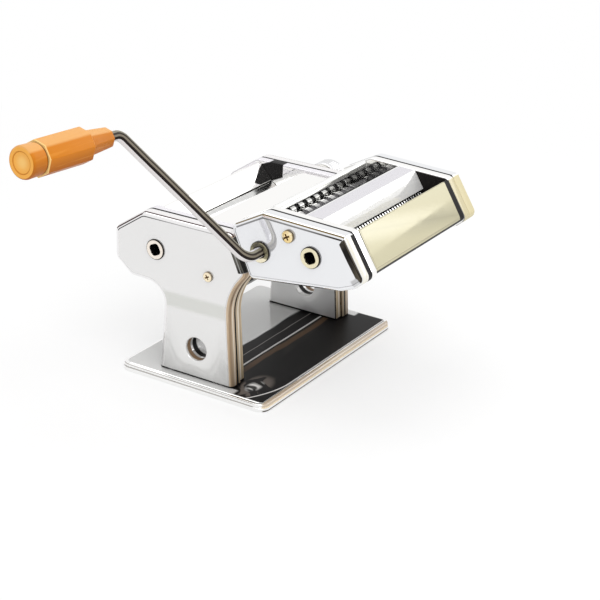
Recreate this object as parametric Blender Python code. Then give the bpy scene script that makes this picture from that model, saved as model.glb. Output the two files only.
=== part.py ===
"""Hand cranked pasta machine: a sheet steel body with two smooth rollers, a lift-off
cutter head with a wide and a narrow pair of cutters, and a crank with a plastic grip.

Metres, +Z up. The cutter head is at -Y, the crank at -X and the thickness knob at +X.
The origin is on the underside of the base, midway between the two legs.
An outline is a list of corners (y, z, corner radius) in a plane square to X.
"""
import math

import bmesh
import bpy
from mathutils import Matrix, Quaternion, Vector

# Clearances and sheet
FIT = 0.0003
SHEET = 0.0012
COVER_SHEET = 0.0010
EDGE_ROUND = 0.0040
INNER_EDGE = 0.0010

# Casings, one pair of shells on each side; heights are from the foot of the leg
CASING_SPAN = 0.200
OUTER_SHELL_DEPTH = 0.0130
INNER_SHELL_DEPTH = 0.0087
ROLLER_HEIGHT = 0.1102
TOP_RISE = 0.0318
SHOULDER_RISE = 0.0108
OVERHANG_DROP = 0.0324
FRONT_FOOT_DROP = 0.0022
NECK_DROP = 0.0264
LEG_DEPTH = 0.0800
NECK_BACK = 0.0343
BODY_BACK = 0.0875
CHIN_SLOPE = 0.0170
CHIN_RISE = 0.0151
RIDGE_SETBACK = 0.0299
FRONT_FOOT = 0.0510
FRONT_LEAN = math.radians(65.0)
NECK_FRONT = 0.0329
NECK_ROUND = 0.0500
NECK_BACK_ROUND = 0.0170
CLAMP_HOLE_RADIUS = 0.0108
CLAMP_HOLE_HEIGHT = 0.0268

# Base
BASE_MARGIN = 0.0120
BASE_APRON = 0.0390
BASE_TAIL = 0.0345
BASE_HEIGHT = 0.0077
BASE_CORNER = 0.0100
BASE_SHEET = 0.0015
RIM_WIDTH = 0.0035
LEDGE_WIDTH = 0.0080
MAT_THICKNESS = 0.0020

# Smooth rollers and their drive
ROLLER_Y = 0.0429
ROLLER_RADIUS = 0.0135
ROLLER_GAP = 0.0004
ROLLER_OPENING = 0.0020
ROLLER_TEETH = 12
DRIVE_JOURNAL = 0.0065
ROLLER_JOURNAL = 0.0050
BUSH_WALL = 0.0016
END_GAP = 0.0006

# Hopper covers
LIP_CLEAR = 0.0010
LIP_SETBACK = 0.0025
HOPPER_SLOPE = math.radians(48.0)
COVER_INSET = 0.0022
COVER_DROP = 0.0025

# Cutters; the cutter head's outline is measured from the axis of the rear wide cutter
WIDE_SETBACK = 0.02524
WIDE_RISE = 0.0256
CUTTER_PITCH = 0.0488
NARROW_RISE = 0.0067
CUTTER_RADIUS = 0.0095
CUTTER_BITE = 0.0010
CUTTER_GROOVE = 0.0016
CUTTER_TILT = math.radians(7.9)
CUTTER_JOURNAL = 0.0040
CUTTER_TEETH = 12
WIDE_PITCH = 0.0130
NARROW_PITCH = 0.0043
BEARING_PLATE = 0.0030
SLOT_CLEAR = 0.0010

# Cutter head
HEAD_GAP = 0.0015
HEAD_BACK_DROP = 0.0276
HEAD_BACK_RISE = 0.0167
HEAD_TOP_RISE = 0.0340
HEAD_RIDGE = 0.0006
HEAD_FRONT_TOP = 0.0787
HEAD_FRONT_ROUND = 0.0050
HEAD_COVER_DROP = 0.0020
HEAD_NOSE = 0.1003
HEAD_NOSE_DROP = 0.0026
HEAD_LIFT = 0.0300
LIFT_CLEAR = 0.0010

# Gears
GEAR_WIDTH = 0.0080
CUTTER_GEAR_WIDTH = 0.0070
BACKLASH = 0.12

# Thickness knob, cam shaft and index ring
KNOB_SETBACK = 0.0155
KNOB_CLEAR = 0.003931
KNOB_RADIUS = 0.0170
KNOB_DEPTH = 0.0160
KNOB_WEB = 0.0034
KNOB_PULL = 0.0040
KNOB_STEPS = 9
KNOB_STEP_ANGLE = math.radians(36.0)
CAM_SHAFT_RADIUS = 0.0040
CAM_RADIUS = 0.0065
CARRIER_THICKNESS = 0.0045
CARRIER_WIDTH = 0.0175
CARRIER_STEP = 0.0055
SHAFT_HEAD = 0.0072
SHAFT_HEAD_DEPTH = 0.0018
INDEX_PLATE = 0.0030
INDEX_CIRCLE = 0.0110
INDEX_PIN = 0.0014
INDEX_NUB = 0.0010
INDEX_START = math.radians(97.0)
SPRING_WIRE = 0.0005
SPRING_SOLID = 0.0016
SPRING_TURNS = 3
SPRING_CLEAR = 0.0018

# Crank
CRANK_ROD = 0.0045
SOCKET_DEPTH = 0.0155
CRANK_STANDOFF = 0.0210
CRANK_REACH = 0.1371
CRANK_RISE = math.radians(45.96)
CRANK_FLARE = 0.0435
CRANK_LOW_BEND = 0.0130
CRANK_TOP_BEND = 0.0090
GRIP_TILT = math.radians(3.5)
GRIP_TWIST = math.radians(8.5)
GRIP_START = 0.0140
GRIP_COLLAR = 0.0285
GRIP_BODY = 0.0535
GRIP_CAP = 0.0156
GRIP_RADIUS = 0.0150
COLLAR_RADIUS = 0.0112
GRIP_TIP_RADIUS = 0.0088
GRIP_CAP_RADIUS = 0.0134
GRIP_DISH = 0.0085

# Fasteners and rings; the tie rods are placed from the roller and the wide cutter
TIE_ROD_RADIUS = 0.0040
TIE_SETBACK = 0.0554
TIE_DROP = 0.0117
HEAD_TIE_SETBACK = 0.0269
HEAD_TIE_RISE = 0.0201
HEAD_TIE_RADIUS = 0.0030
SCREW_SHANK = 0.0017
SCREW_HEAD = 0.0045
SCREW_HEAD_HEIGHT = 0.0022
HEAD_SCREW_HEAD = 0.0055
HEAD_SCREW_HEIGHT = 0.0032
SCREW_LENGTH = 0.0100
BASE_SCREW_GRIP = 0.0070
BASE_SCREW_HEIGHT = 0.0024
RING_FLANGE = 0.0093
RING_HEIGHT = 0.0022
BODY_RING_HEIGHT = 0.0012

# Rails and brackets that carry the cutter head
RAIL_FLANGE = 0.0080
RAIL_WEB = 0.0020
RAIL_PLATE = 0.0020
RAIL_FOOT = 0.0009
RAIL_INSET = 0.0010
BRACKET_WALL = 0.0020

# Roundness
ARC_STEPS = 2
WIDE_ARC = 0.020
ROUND_SIDES = 20
SMALL_SIDES = 12
WIDE_SIDES = 10
NARROW_SIDES = 8
PIN_SIDES = 6
SPRING_STEPS = 8

# Sizes that follow from those above
FLOOR = BASE_HEIGHT + FIT
FACE = CASING_SPAN / 2
SEAM = FACE - OUTER_SHELL_DEPTH
INNER_FACE = SEAM - FIT - INNER_SHELL_DEPTH
COVER_END = INNER_FACE - FIT
ROLL_END = INNER_FACE - END_GAP
CAVITY_IN = INNER_FACE + SHEET + FIT
CAVITY_OUT = FACE - SHEET - FIT
SOCKET_MOUTH = FACE - FIT
BODY_TOP = ROLLER_HEIGHT + TOP_RISE
BODY_SHOULDER = ROLLER_HEIGHT + SHOULDER_RISE
OVERHANG_HEIGHT = ROLLER_HEIGHT - OVERHANG_DROP
FRONT_FOOT_HEIGHT = ROLLER_HEIGHT - FRONT_FOOT_DROP
NECK_HEIGHT = ROLLER_HEIGHT - NECK_DROP
WIDE_HEIGHT = FRONT_FOOT_HEIGHT + WIDE_RISE
WIDE_Y = -FRONT_FOOT + WIDE_RISE / math.tan(FRONT_LEAN) - WIDE_SETBACK
ROLLER_SPACING = 2 * ROLLER_RADIUS + ROLLER_GAP
CUTTER_SPACING = 2 * CUTTER_RADIUS - CUTTER_BITE
ROLLER_AXIS = (ROLLER_Y, FLOOR + ROLLER_HEIGHT)
FRONT_ROLLER_AXIS = (ROLLER_Y - ROLLER_SPACING, FLOOR + ROLLER_HEIGHT)
KNOB_REACH = ROLLER_RADIUS + CAM_SHAFT_RADIUS + KNOB_CLEAR
KNOB_RISE = math.sqrt(KNOB_REACH ** 2 - KNOB_SETBACK ** 2)
KNOB_AXIS = (FRONT_ROLLER_AXIS[0] - KNOB_SETBACK, FRONT_ROLLER_AXIS[1] + KNOB_RISE)
KNOB_TURN = (KNOB_STEPS - 1) * KNOB_STEP_ANGLE
BODY_TIE = (ROLLER_Y - TIE_SETBACK, FLOOR + ROLLER_HEIGHT - TIE_DROP)
HEAD_TIE = (WIDE_Y - HEAD_TIE_SETBACK, FLOOR + WIDE_HEIGHT + HEAD_TIE_RISE)
UP_FRONT = Vector((0.0, math.cos(FRONT_LEAN), math.sin(FRONT_LEAN)))
OUT_FRONT = Vector((0.0, -math.sin(FRONT_LEAN), math.cos(FRONT_LEAN)))
FRONT_CORNER = Vector((0.0, -FRONT_FOOT, FLOOR + FRONT_FOOT_HEIGHT))


def material(name, colour, roughness, metallic):
    """A plain Principled material."""
    made = bpy.data.materials.new(name)
    made.use_nodes = True
    shader = made.node_tree.nodes["Principled BSDF"]
    shader.inputs["Base Color"].default_value = (*colour, 1.0)
    shader.inputs["Roughness"].default_value = roughness
    shader.inputs["Metallic"].default_value = metallic
    made.diffuse_color = (*colour, 1.0)
    return made


def place(name, mesh_data, finish, origin=(0.0, 0.0, 0.0), parent=None):
    """Put a mesh in the scene with its origin on the point where it turns or stands."""
    obj = bpy.data.objects.new(name, mesh_data)
    bpy.context.scene.collection.objects.link(obj)
    obj.location = origin
    if not obj.data.materials:
        obj.data.materials.append(finish)
    if parent is not None:
        obj.parent = parent
        obj.matrix_parent_inverse = Matrix.Translation(parent.location).inverted()
    return obj


def pivot(name, origin):
    """An empty on a joint's axis, which carries the pieces that move with it."""
    empty = bpy.data.objects.new(name, None)
    bpy.context.scene.collection.objects.link(empty)
    empty.location = origin
    return empty


def loft(name, rings, cyclic=False):
    """A closed mesh through rings of equally many points, capped or joined end to end."""
    bm = bmesh.new()
    rows = [[bm.verts.new(point) for point in ring] for ring in rings]
    pairs = list(zip(rows, rows[1:]))
    if cyclic:
        pairs.append((rows[-1], rows[0]))
    else:
        bm.faces.new(rows[0])
        bm.faces.new(rows[-1])
    for low, high in pairs:
        count = len(low)
        for i in range(count):
            j = (i + 1) % count
            bm.faces.new((low[i], low[j], high[j], high[i]))
    bmesh.ops.recalc_face_normals(bm, faces=bm.faces)
    made = bpy.data.meshes.new(name)
    bm.to_mesh(made)
    bm.free()
    made.shade_smooth()
    made.set_sharp_from_angle(angle=math.radians(35))
    return made


def fillet(before, corner, after, radius, steps):
    """Points of an arc that rounds a corner of a path, in two or three dimensions."""
    back = (Vector(before) - Vector(corner)).normalized()
    ahead = (Vector(after) - Vector(corner)).normalized()
    half = back.angle(ahead) / 2
    reach = radius / math.tan(half)
    centre = Vector(corner) + (back + ahead).normalized() * (radius / math.sin(half))
    start = Vector(corner) + back * reach - centre
    end = Vector(corner) + ahead * reach - centre
    sweep = start.angle(end)
    points = []
    for i in range(steps + 1):
        part = i / steps
        mix = start * math.sin((1 - part) * sweep) + end * math.sin(part * sweep)
        points.append(centre + mix / math.sin(sweep))
    return points


def outline(corners, inset=0.0):
    """Points of a closed outline, moved inwards, with its corners rounded or left sharp."""
    count = len(corners)
    flat = [Vector((y, z)) for y, z, _ in corners]
    area = sum(flat[i - 1].cross(flat[i]) for i in range(count))
    inward = 1.0 if area > 0 else -1.0
    moved = []
    for i in range(count):
        before = (flat[i] - flat[i - 1]).normalized()
        after = (flat[(i + 1) % count] - flat[i]).normalized()
        side = Vector((-before.y - after.y, before.x + after.x)).normalized() * inward
        stretch = side.dot(Vector((-before.y, before.x))) * inward
        turn = before.cross(after) * inward
        radius = corners[i][2] - inset if turn > 0 else corners[i][2] + inset
        moved.append((flat[i] + side * (inset / stretch), max(radius, 0.0002)))
    points = []
    for i in range(count):
        before = moved[i - 1][0]
        after = moved[(i + 1) % count][0]
        steps = 2 * ARC_STEPS if corners[i][2] > WIDE_ARC else ARC_STEPS
        if corners[i][2] > 0:
            points += fillet(before, moved[i][0], after, moved[i][1], steps)
        else:
            points.append(moved[i][0])
    return [(point.x, point.y) for point in points]


def circle(y, z, radius, sides=ROUND_SIDES):
    """Points of a circle in a plane square to X."""
    steps = [2 * math.pi * i / sides for i in range(sides)]
    return [(y + radius * math.cos(a), z + radius * math.sin(a)) for a in steps]


def slot(y_low, y_high, z, radius):
    """Points of a round-ended slot that runs along Y."""
    count = SMALL_SIDES // 2
    steps = [math.pi * i / count for i in range(count + 1)]
    top = [(y_high + radius * math.sin(a), z + radius * math.cos(a)) for a in steps]
    return top + [(y_low - radius * math.sin(a), z - radius * math.cos(a)) for a in steps]


def at_x(x, points):
    """Lay an outline in the plane at x."""
    return [(x, y, z) for y, z in points]


def prism(name, points, x_low, x_high):
    """A plate with the given outline, from one x to the other."""
    return loft(name, [at_x(x_low, points), at_x(x_high, points)])


def turned(name, profile, sides=ROUND_SIDES, closed=False):
    """A body turned about X from a profile of (x, radius) points."""
    return loft(name, [at_x(x, circle(0, 0, r, sides)) for x, r in profile], closed)


def tube(name, x_low, x_high, inner, outer, sides=ROUND_SIDES):
    """A plain ring about X."""
    profile = [(x_low, inner), (x_low, outer), (x_high, outer), (x_high, inner)]
    return turned(name, profile, sides, closed=True)


def combine(targets, helper, operation):
    """Cut a helper body out of pieces, or join it to them, and keep it out of sight."""
    helper.hide_render = True
    helper.display_type = "WIRE"
    helper.hide_set(True)
    for target in targets:
        modifier = target.modifiers.new(helper.name, "BOOLEAN")
        modifier.object = helper
        modifier.operation = operation
        modifier.solver = "EXACT"


def cut(target, holes, x_low, x_high, origin=(0.0, 0.0, 0.0)):
    """Cut holes of the given outlines through a piece, between two places along X."""
    for i, points in enumerate(holes):
        name = f"{target.name}_hole_{i}"
        hole = place(name, prism(name, points, x_low, x_high), HIDDEN, origin)
        combine([target], hole, "DIFFERENCE")


def front_y(height, gap=0.0):
    """Where the leaning front of the body lies at a height, less a gap square to it."""
    rise = height - FRONT_FOOT_HEIGHT
    return -FRONT_FOOT + rise / math.tan(FRONT_LEAN) - gap / math.sin(FRONT_LEAN)


def lifted(corners):
    """Move an outline measured from the foot of the leg up onto the base."""
    return [(y, FLOOR + z, radius) for y, z, radius in corners]


def body_corners():
    """The main casing: a leg, a neck, and a wide head with a leaning front."""
    below = 0.012
    return lifted([
        (-LEG_DEPTH / 2, -below, 0.0),
        (LEG_DEPTH / 2, -below, 0.0),
        (NECK_BACK, OVERHANG_HEIGHT, NECK_BACK_ROUND),
        (BODY_BACK - CHIN_SLOPE, OVERHANG_HEIGHT + 0.0013, 0.008),
        (BODY_BACK, OVERHANG_HEIGHT + CHIN_RISE, 0.008),
        (BODY_BACK, BODY_SHOULDER, 0.008),
        (BODY_BACK - RIDGE_SETBACK, BODY_TOP - 0.0005, 0.012),
        (front_y(BODY_TOP), BODY_TOP, 0.006),
        (-FRONT_FOOT, FRONT_FOOT_HEIGHT, 0.006),
        (-NECK_FRONT, NECK_HEIGHT, NECK_ROUND),
    ])


def head_corners():
    """The cutter head's casing, which backs on to the leaning front of the body."""
    back_low = WIDE_HEIGHT - HEAD_BACK_DROP
    back_high = WIDE_HEIGHT + HEAD_BACK_RISE
    top = WIDE_HEIGHT + HEAD_TOP_RISE
    nose = WIDE_Y - HEAD_NOSE
    nose_height = WIDE_HEIGHT - HEAD_NOSE_DROP
    return lifted([
        (front_y(back_low, HEAD_GAP), back_low, 0.006),
        (front_y(back_high, HEAD_GAP), back_high, 0.007),
        (WIDE_Y - HEAD_RIDGE, top, 0.010),
        (WIDE_Y - HEAD_FRONT_TOP, top - 0.0025, HEAD_FRONT_ROUND),
        (nose, nose_height, 0.006),
        (nose + 0.0102, nose_height - 0.0088, 0.008),
        (nose + 0.0236, nose_height - 0.0143, 0.015),
    ])


def trim_foot(obj):
    """Saw a shell off level with the base, which leaves its foot open."""
    bm = bmesh.new()
    bm.from_mesh(obj.data)
    everything = bm.verts[:] + bm.edges[:] + bm.faces[:]
    found = bmesh.ops.bisect_plane(
        bm, geom=everything, plane_co=(0, 0, FLOOR), plane_no=(0, 0, 1), clear_inner=True)
    rim = [item for item in found["geom_cut"] if isinstance(item, bmesh.types.BMEdge)]
    bmesh.ops.holes_fill(bm, edges=rim, sides=0)
    bmesh.ops.recalc_face_normals(bm, faces=bm.faces)
    bm.to_mesh(obj.data)
    bm.free()


def outer_shell(name, corners, side, parent=None):
    """A pressed shell with a rounded outer edge, open towards the middle."""
    rings = []
    for i in range(3):
        angle = math.radians(90) * i / 2
        inset = EDGE_ROUND * (1 - math.sin(angle))
        x = FACE - EDGE_ROUND * (1 - math.cos(angle))
        rings.append(at_x(side * x, outline(corners, inset)))
    rings.append(at_x(side * SEAM, outline(corners)))
    rings.append(at_x(side * SEAM, outline(corners, SHEET)))
    rings.append(at_x(side * (FACE - EDGE_ROUND), outline(corners, SHEET)))
    rings.append(at_x(side * (FACE - SHEET), outline(corners, EDGE_ROUND)))
    return place(name, loft(name, rings), CHROME, parent=parent)


def inner_shell(name, corners, side, parent=None):
    """The shallower shell that closes the outer one on the side of the rollers."""
    outer_x = SEAM - FIT
    rings = [
        at_x(side * INNER_FACE, outline(corners, INNER_EDGE)),
        at_x(side * (INNER_FACE + INNER_EDGE), outline(corners)),
        at_x(side * outer_x, outline(corners)),
        at_x(side * outer_x, outline(corners, SHEET)),
        at_x(side * (INNER_FACE + SHEET), outline(corners, SHEET)),
    ]
    return place(name, loft(name, rings), CHROME, parent=parent)


def bent_sheet(name, path, parent=None, width=None, finish=None, thickness=COVER_SHEET):
    """A strip of sheet bent along a path of (y, z) points, as wide as the throat."""
    points = [Vector(point) for point in path]
    above = []
    below = []
    last = len(points) - 1
    for i, point in enumerate(points):
        before = (point - points[i - 1]).normalized() if i > 0 else None
        after = (points[i + 1] - point).normalized() if i < last else None
        before = before or after
        after = after or before
        side = Vector((-before.y - after.y, before.x + after.x)).normalized()
        stretch = side.dot(Vector((-before.y, before.x)))
        above.append(point + side * (thickness / 2 / stretch))
        below.append(point - side * (thickness / 2 / stretch))
    section = [(p.x, p.y) for p in above + below[::-1]]
    half = COVER_END if width is None else width / 2
    return place(name, prism(name, section, -half, half), finish or CHROME, parent=parent)


def socket_ring(name, axis, height, parent=None):
    """The ring round a crank socket: a sleeve in the casing and a flange on its face."""
    inner = DRIVE_JOURNAL + FIT
    sleeve = DRIVE_JOURNAL + BUSH_WALL
    base = -FACE - FIT
    profile = [
        (-CAVITY_OUT + FIT, inner), (-CAVITY_OUT + FIT, sleeve), (base, sleeve),
        (base, RING_FLANGE), (base - height * 0.6, RING_FLANGE),
        (base - height, RING_FLANGE - height * 0.6), (base - height, inner),
    ]
    mesh_data = turned(name, profile, closed=True)
    return place(name, mesh_data, RING_STEEL, (0, *axis), parent)


def pan_screw(name, axis, side, head_radius, head_height, parent=None):
    """A pan head screw with a cross recess, which draws the casing on to its tie rod."""
    start = FACE + FIT
    arm = head_radius * 0.52
    slot_half = head_radius * 0.13
    quarter = ((slot_half, -arm), (slot_half, -slot_half), (arm, -slot_half))
    cross = []
    for i in range(4):
        turn = Matrix.Rotation(math.radians(90 * i), 2)
        cross += [turn @ Vector(point) for point in quarter]
    cross = [(point.x, point.y) for point in cross]
    tip = start - SCREW_LENGTH - (FACE - INNER_FACE)
    profile = [
        (side * tip, SCREW_SHANK), (side * start, SCREW_SHANK), (side * start, head_radius),
        (side * (start + head_height * 0.45), head_radius),
        (side * (start + head_height), head_radius * 0.68),
    ]
    obj = place(name, turned(name, profile, SMALL_SIDES), SCREW_STEEL, (0, *axis), parent)
    top = start + head_height
    cut(obj, [cross], side * (top - head_height * 0.6), side * (top + FIT), (0, *axis))
    return obj


def tie_rod(name, axis, radius, parent=None):
    """A rod across the throat with a hole in each end for its screw."""
    bore = SCREW_SHANK + FIT
    depth = SCREW_LENGTH + 0.001
    profile = [
        (-COVER_END + depth, bore), (-COVER_END, bore), (-COVER_END, radius),
        (COVER_END, radius), (COVER_END, bore), (COVER_END - depth, bore),
    ]
    return place(name, turned(name, profile, SMALL_SIDES), STEEL, (0, *axis), parent)


def gear(name, teeth, pitch_radius, bore, x_low, x_high, phase, origin, parent):
    """A spur gear with straight-sided teeth, pressed on a journal."""
    module = 2 * pitch_radius / teeth
    levels = [
        (pitch_radius - 1.15 * module, -0.32), (pitch_radius + 0.85 * module, -0.13),
        (pitch_radius + 0.85 * module, 0.13), (pitch_radius - 1.15 * module, 0.32),
    ]
    points = []
    for i in range(teeth):
        for radius, share in levels:
            share -= math.copysign(BACKLASH / 4, share)
            angle = phase + 2 * math.pi * (i + share) / teeth
            points.append((radius * math.cos(angle), radius * math.sin(angle)))
    obj = place(name, prism(name, points, x_low, x_high), GEAR_STEEL, origin, parent)
    cut(obj, [circle(0, 0, bore, SMALL_SIDES)], x_low - FIT, x_high + FIT, origin)
    return obj


def rounded_rectangle(half_x, y_low, y_high, corner, inset, z):
    """A ring of points round a rectangle with rounded corners, at one height."""
    corners = [(-half_x, y_low), (half_x, y_low), (half_x, y_high), (-half_x, y_high)]
    points = outline([(x, y, corner) for x, y in corners], inset)
    return [(x, y, z) for x, y in points]


def build_base():
    """A pressed tray with a double bead round its rim, and the rubber mat in it."""
    half = FACE + BASE_MARGIN
    front = -LEG_DEPTH / 2 - BASE_APRON
    back = LEG_DEPTH / 2 + BASE_TAIL
    ledge = MAT_THICKNESS + FIT
    profile = [
        (RIM_WIDTH, BASE_HEIGHT), (0.0022, BASE_HEIGHT - 0.0003), (0.0009, BASE_HEIGHT - 0.0016),
        (0.0007, 0.0044), (0.0011, 0.0036), (0.0002, 0.0028), (0.0, 0.0010), (0.0008, 0.0),
        (RIM_WIDTH, 0.0), (RIM_WIDTH, ledge), (LEDGE_WIDTH, ledge),
        (LEDGE_WIDTH, BASE_HEIGHT - BASE_SHEET),
    ]
    rings = [
        rounded_rectangle(half, front, back, BASE_CORNER, inset, z) for inset, z in profile
    ]
    tray = place("base_plate", loft("base_plate", rings), CHROME)
    mat_rings = [
        rounded_rectangle(half, front, back, BASE_CORNER, RIM_WIDTH + FIT, z)
        for z in (0.0, MAT_THICKNESS)
    ]
    place("base_mat", loft("base_mat", mat_rings), RUBBER)
    for side, word in ((-1, "left"), (1, "right")):
        build_leg_fixing(tray, side, word)


def build_leg_fixing(tray, side, word):
    """A block inside each leg and the screw that holds it to the base from below."""
    block_height = 0.0095
    block_length = LEG_DEPTH - 0.014
    x = side * (CAVITY_IN + CAVITY_OUT) / 2
    depth = CAVITY_OUT - CAVITY_IN
    bore = SCREW_SHANK + FIT
    section = [
        (-block_length / 2, FLOOR), (block_length / 2, FLOOR),
        (block_length / 2, FLOOR + block_height), (-block_length / 2, FLOOR + block_height),
    ]
    block = prism(f"leg_block_{word}", section, x - depth / 2, x + depth / 2)
    block = place(f"leg_block_{word}", block, STEEL)
    shank = upright(x, bore, (0.0, FLOOR + BASE_SCREW_GRIP + 0.001))
    shank = place(f"leg_bore_{word}", loft(f"leg_bore_{word}", shank), HIDDEN)
    combine([block, tray], shank, "DIFFERENCE")
    seat = BASE_HEIGHT - BASE_SHEET - FIT
    rings = upright(x, SCREW_HEAD, (seat - BASE_SCREW_HEIGHT, seat))
    rings += upright(x, SCREW_SHANK, (seat, FLOOR + BASE_SCREW_GRIP))
    place(f"base_screw_{word}", loft(f"base_screw_{word}", rings), SCREW_STEEL)


def upright(x, radius, heights):
    """Rings of a round bar that stands upright at x on the middle line of the legs."""
    points = circle(x, 0.0, radius, SMALL_SIDES)
    return [[(u, v, z) for u, v in points] for z in heights]


def build_body():
    """The four main shells, the two hopper covers, the tie rod and its screws."""
    corners = body_corners()
    clamp = circle(0.0, FLOOR + CLAMP_HOLE_HEIGHT, CLAMP_HOLE_RADIUS)
    shank = circle(*BODY_TIE, SCREW_SHANK + FIT, SMALL_SIDES)
    ring_hole = circle(*ROLLER_AXIS, DRIVE_JOURNAL + BUSH_WALL + FIT)
    front_axis = FRONT_ROLLER_AXIS
    travel = slot(front_axis[0] - ROLLER_OPENING, front_axis[0], front_axis[1],
                  ROLLER_JOURNAL + 2 * FIT)
    shaft_hole = circle(*KNOB_AXIS, CAM_SHAFT_RADIUS + FIT, SMALL_SIDES)
    bush_holes = {
        -1: circle(*ROLLER_AXIS, DRIVE_JOURNAL + BUSH_WALL + FIT),
        1: circle(*ROLLER_AXIS, ROLLER_JOURNAL + BUSH_WALL + FIT),
    }
    face_hole = {-1: ring_hole, 1: shaft_hole}
    for side, word in ((-1, "left"), (1, "right")):
        outer = outer_shell(f"body_outer_shell_{word}", corners, side)
        trim_foot(outer)
        cut(outer, [clamp, shank, face_hole[side]], side * (FACE - EDGE_ROUND), side * (FACE + FIT))
        inner = inner_shell(f"body_inner_shell_{word}", corners, side)
        trim_foot(inner)
        holes = [clamp, shank, bush_holes[side], travel, shaft_hole]
        cut(inner, holes, side * (INNER_FACE - FIT), side * (INNER_FACE + EDGE_ROUND))
        pan_screw(f"body_screw_{word}", BODY_TIE, side, SCREW_HEAD, SCREW_HEAD_HEIGHT)
    tie_rod("body_tie_rod", BODY_TIE, TIE_ROD_RADIUS)
    socket_ring("body_socket_ring", ROLLER_AXIS, BODY_RING_HEIGHT)
    build_body_covers()


def build_body_covers():
    """Bent covers that make the hopper, close the back and front, and hold the scrapers."""
    above_rollers = FLOOR + ROLLER_HEIGHT + ROLLER_RADIUS + LIP_CLEAR
    under_rollers = FLOOR + ROLLER_HEIGHT - ROLLER_RADIUS - LIP_CLEAR * 0.7
    ridge = FLOOR + BODY_TOP - COVER_DROP
    run = (ridge - above_rollers) / math.tan(HOPPER_SLOPE)
    scraper_lip = 0.0031
    scraper_run = 0.0126
    rear_lip = ROLLER_Y - LIP_SETBACK
    rear_floor = FLOOR + OVERHANG_HEIGHT + 0.0048
    rear = [
        (rear_lip, above_rollers), (rear_lip + run, ridge),
        (BODY_BACK - COVER_INSET, FLOOR + BODY_SHOULDER - 0.0018),
        (BODY_BACK - COVER_INSET, FLOOR + OVERHANG_HEIGHT + CHIN_RISE + 0.0014),
        (BODY_BACK - CHIN_SLOPE - 0.0008, rear_floor), (ROLLER_Y + 0.0195, rear_floor),
    ]
    bent_sheet("rear_cover", rear)
    on_floor = COVER_SHEET + FIT
    rear_scraper = [
        (ROLLER_Y - scraper_lip, under_rollers),
        (ROLLER_Y - scraper_lip + scraper_run, rear_floor + on_floor),
        (BODY_BACK - CHIN_SLOPE - 0.0035, rear_floor + on_floor),
    ]
    bent_sheet("rear_scraper", rear_scraper, finish=STEEL)
    front_roller = FRONT_ROLLER_AXIS[0]
    front_lip = front_roller + LIP_SETBACK
    front_floor = FLOOR + NECK_HEIGHT + 0.0012
    above_foot = FRONT_FOOT_HEIGHT + LIP_CLEAR
    front = [
        (front_lip, above_rollers), (front_lip - run, ridge),
        (front_y(BODY_TOP - COVER_DROP, -RAIL_INSET), ridge),
        (front_y(above_foot, -RAIL_INSET), FLOOR + above_foot),
        (-NECK_FRONT + 0.0016, front_floor), (-NECK_FRONT + 0.0180, front_floor),
    ]
    bent_sheet("front_cover", front)
    front_scraper = [
        (front_roller + scraper_lip, under_rollers),
        (front_roller + scraper_lip - scraper_run, front_floor + on_floor),
        (-NECK_FRONT + 0.0040, front_floor + on_floor),
    ]
    bent_sheet("front_scraper", front_scraper, finish=STEEL)


def journal_bush(name, axis, side, journal):
    """A flanged bush in an inner shell, which a roller's journal turns in."""
    inner = journal + FIT
    sleeve = journal + BUSH_WALL
    profile = [
        (side * INNER_FACE, inner), (side * INNER_FACE, sleeve),
        (side * CAVITY_IN, sleeve), (side * CAVITY_IN, sleeve + 0.0022),
        (side * (CAVITY_IN + 0.0018), sleeve + 0.0022), (side * (CAVITY_IN + 0.0018), inner),
    ]
    return place(name, turned(name, profile, closed=True), BRONZE, (0, *axis))


def build_rollers():
    """The rear roller, which the crank can drive, and the front one on its carriers."""
    gear_out = -(CAVITY_OUT - 0.0040)
    gear_in = gear_out + GEAR_WIDTH
    rear = pivot("rear_roller_axis", (0, *ROLLER_AXIS))
    profile = [
        (-SOCKET_MOUTH + SOCKET_DEPTH, CRANK_ROD + FIT), (-SOCKET_MOUTH, CRANK_ROD + FIT),
        (-SOCKET_MOUTH, DRIVE_JOURNAL), (-ROLL_END, DRIVE_JOURNAL), (-ROLL_END, ROLLER_RADIUS),
        (ROLL_END, ROLLER_RADIUS), (ROLL_END, ROLLER_JOURNAL),
        (CAVITY_IN + 0.0060, ROLLER_JOURNAL),
    ]
    place("rear_roller", turned("rear_roller", profile), ROLLER_STEEL, rear.location, rear)
    gear("rear_roller_gear", ROLLER_TEETH, ROLLER_SPACING / 2, DRIVE_JOURNAL + FIT,
         gear_out, gear_in, math.pi, rear.location, rear)
    journal_bush("roller_bush_left", ROLLER_AXIS, -1, DRIVE_JOURNAL)
    journal_bush("roller_bush_right", ROLLER_AXIS, 1, ROLLER_JOURNAL)

    front = pivot("front_roller_axis", (0, *FRONT_ROLLER_AXIS))
    profile = [
        (gear_out, ROLLER_JOURNAL), (-ROLL_END, ROLLER_JOURNAL), (-ROLL_END, ROLLER_RADIUS),
        (ROLL_END, ROLLER_RADIUS), (ROLL_END, ROLLER_JOURNAL),
        (CAVITY_IN + 0.0060, ROLLER_JOURNAL),
    ]
    place("front_roller", turned("front_roller", profile), ROLLER_STEEL, front.location, front)
    half_tooth = math.pi / ROLLER_TEETH
    gear("front_roller_gear", ROLLER_TEETH, ROLLER_SPACING / 2, ROLLER_JOURNAL + FIT,
         gear_out, gear_in, half_tooth, front.location, front)
    build_carriers()


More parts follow.
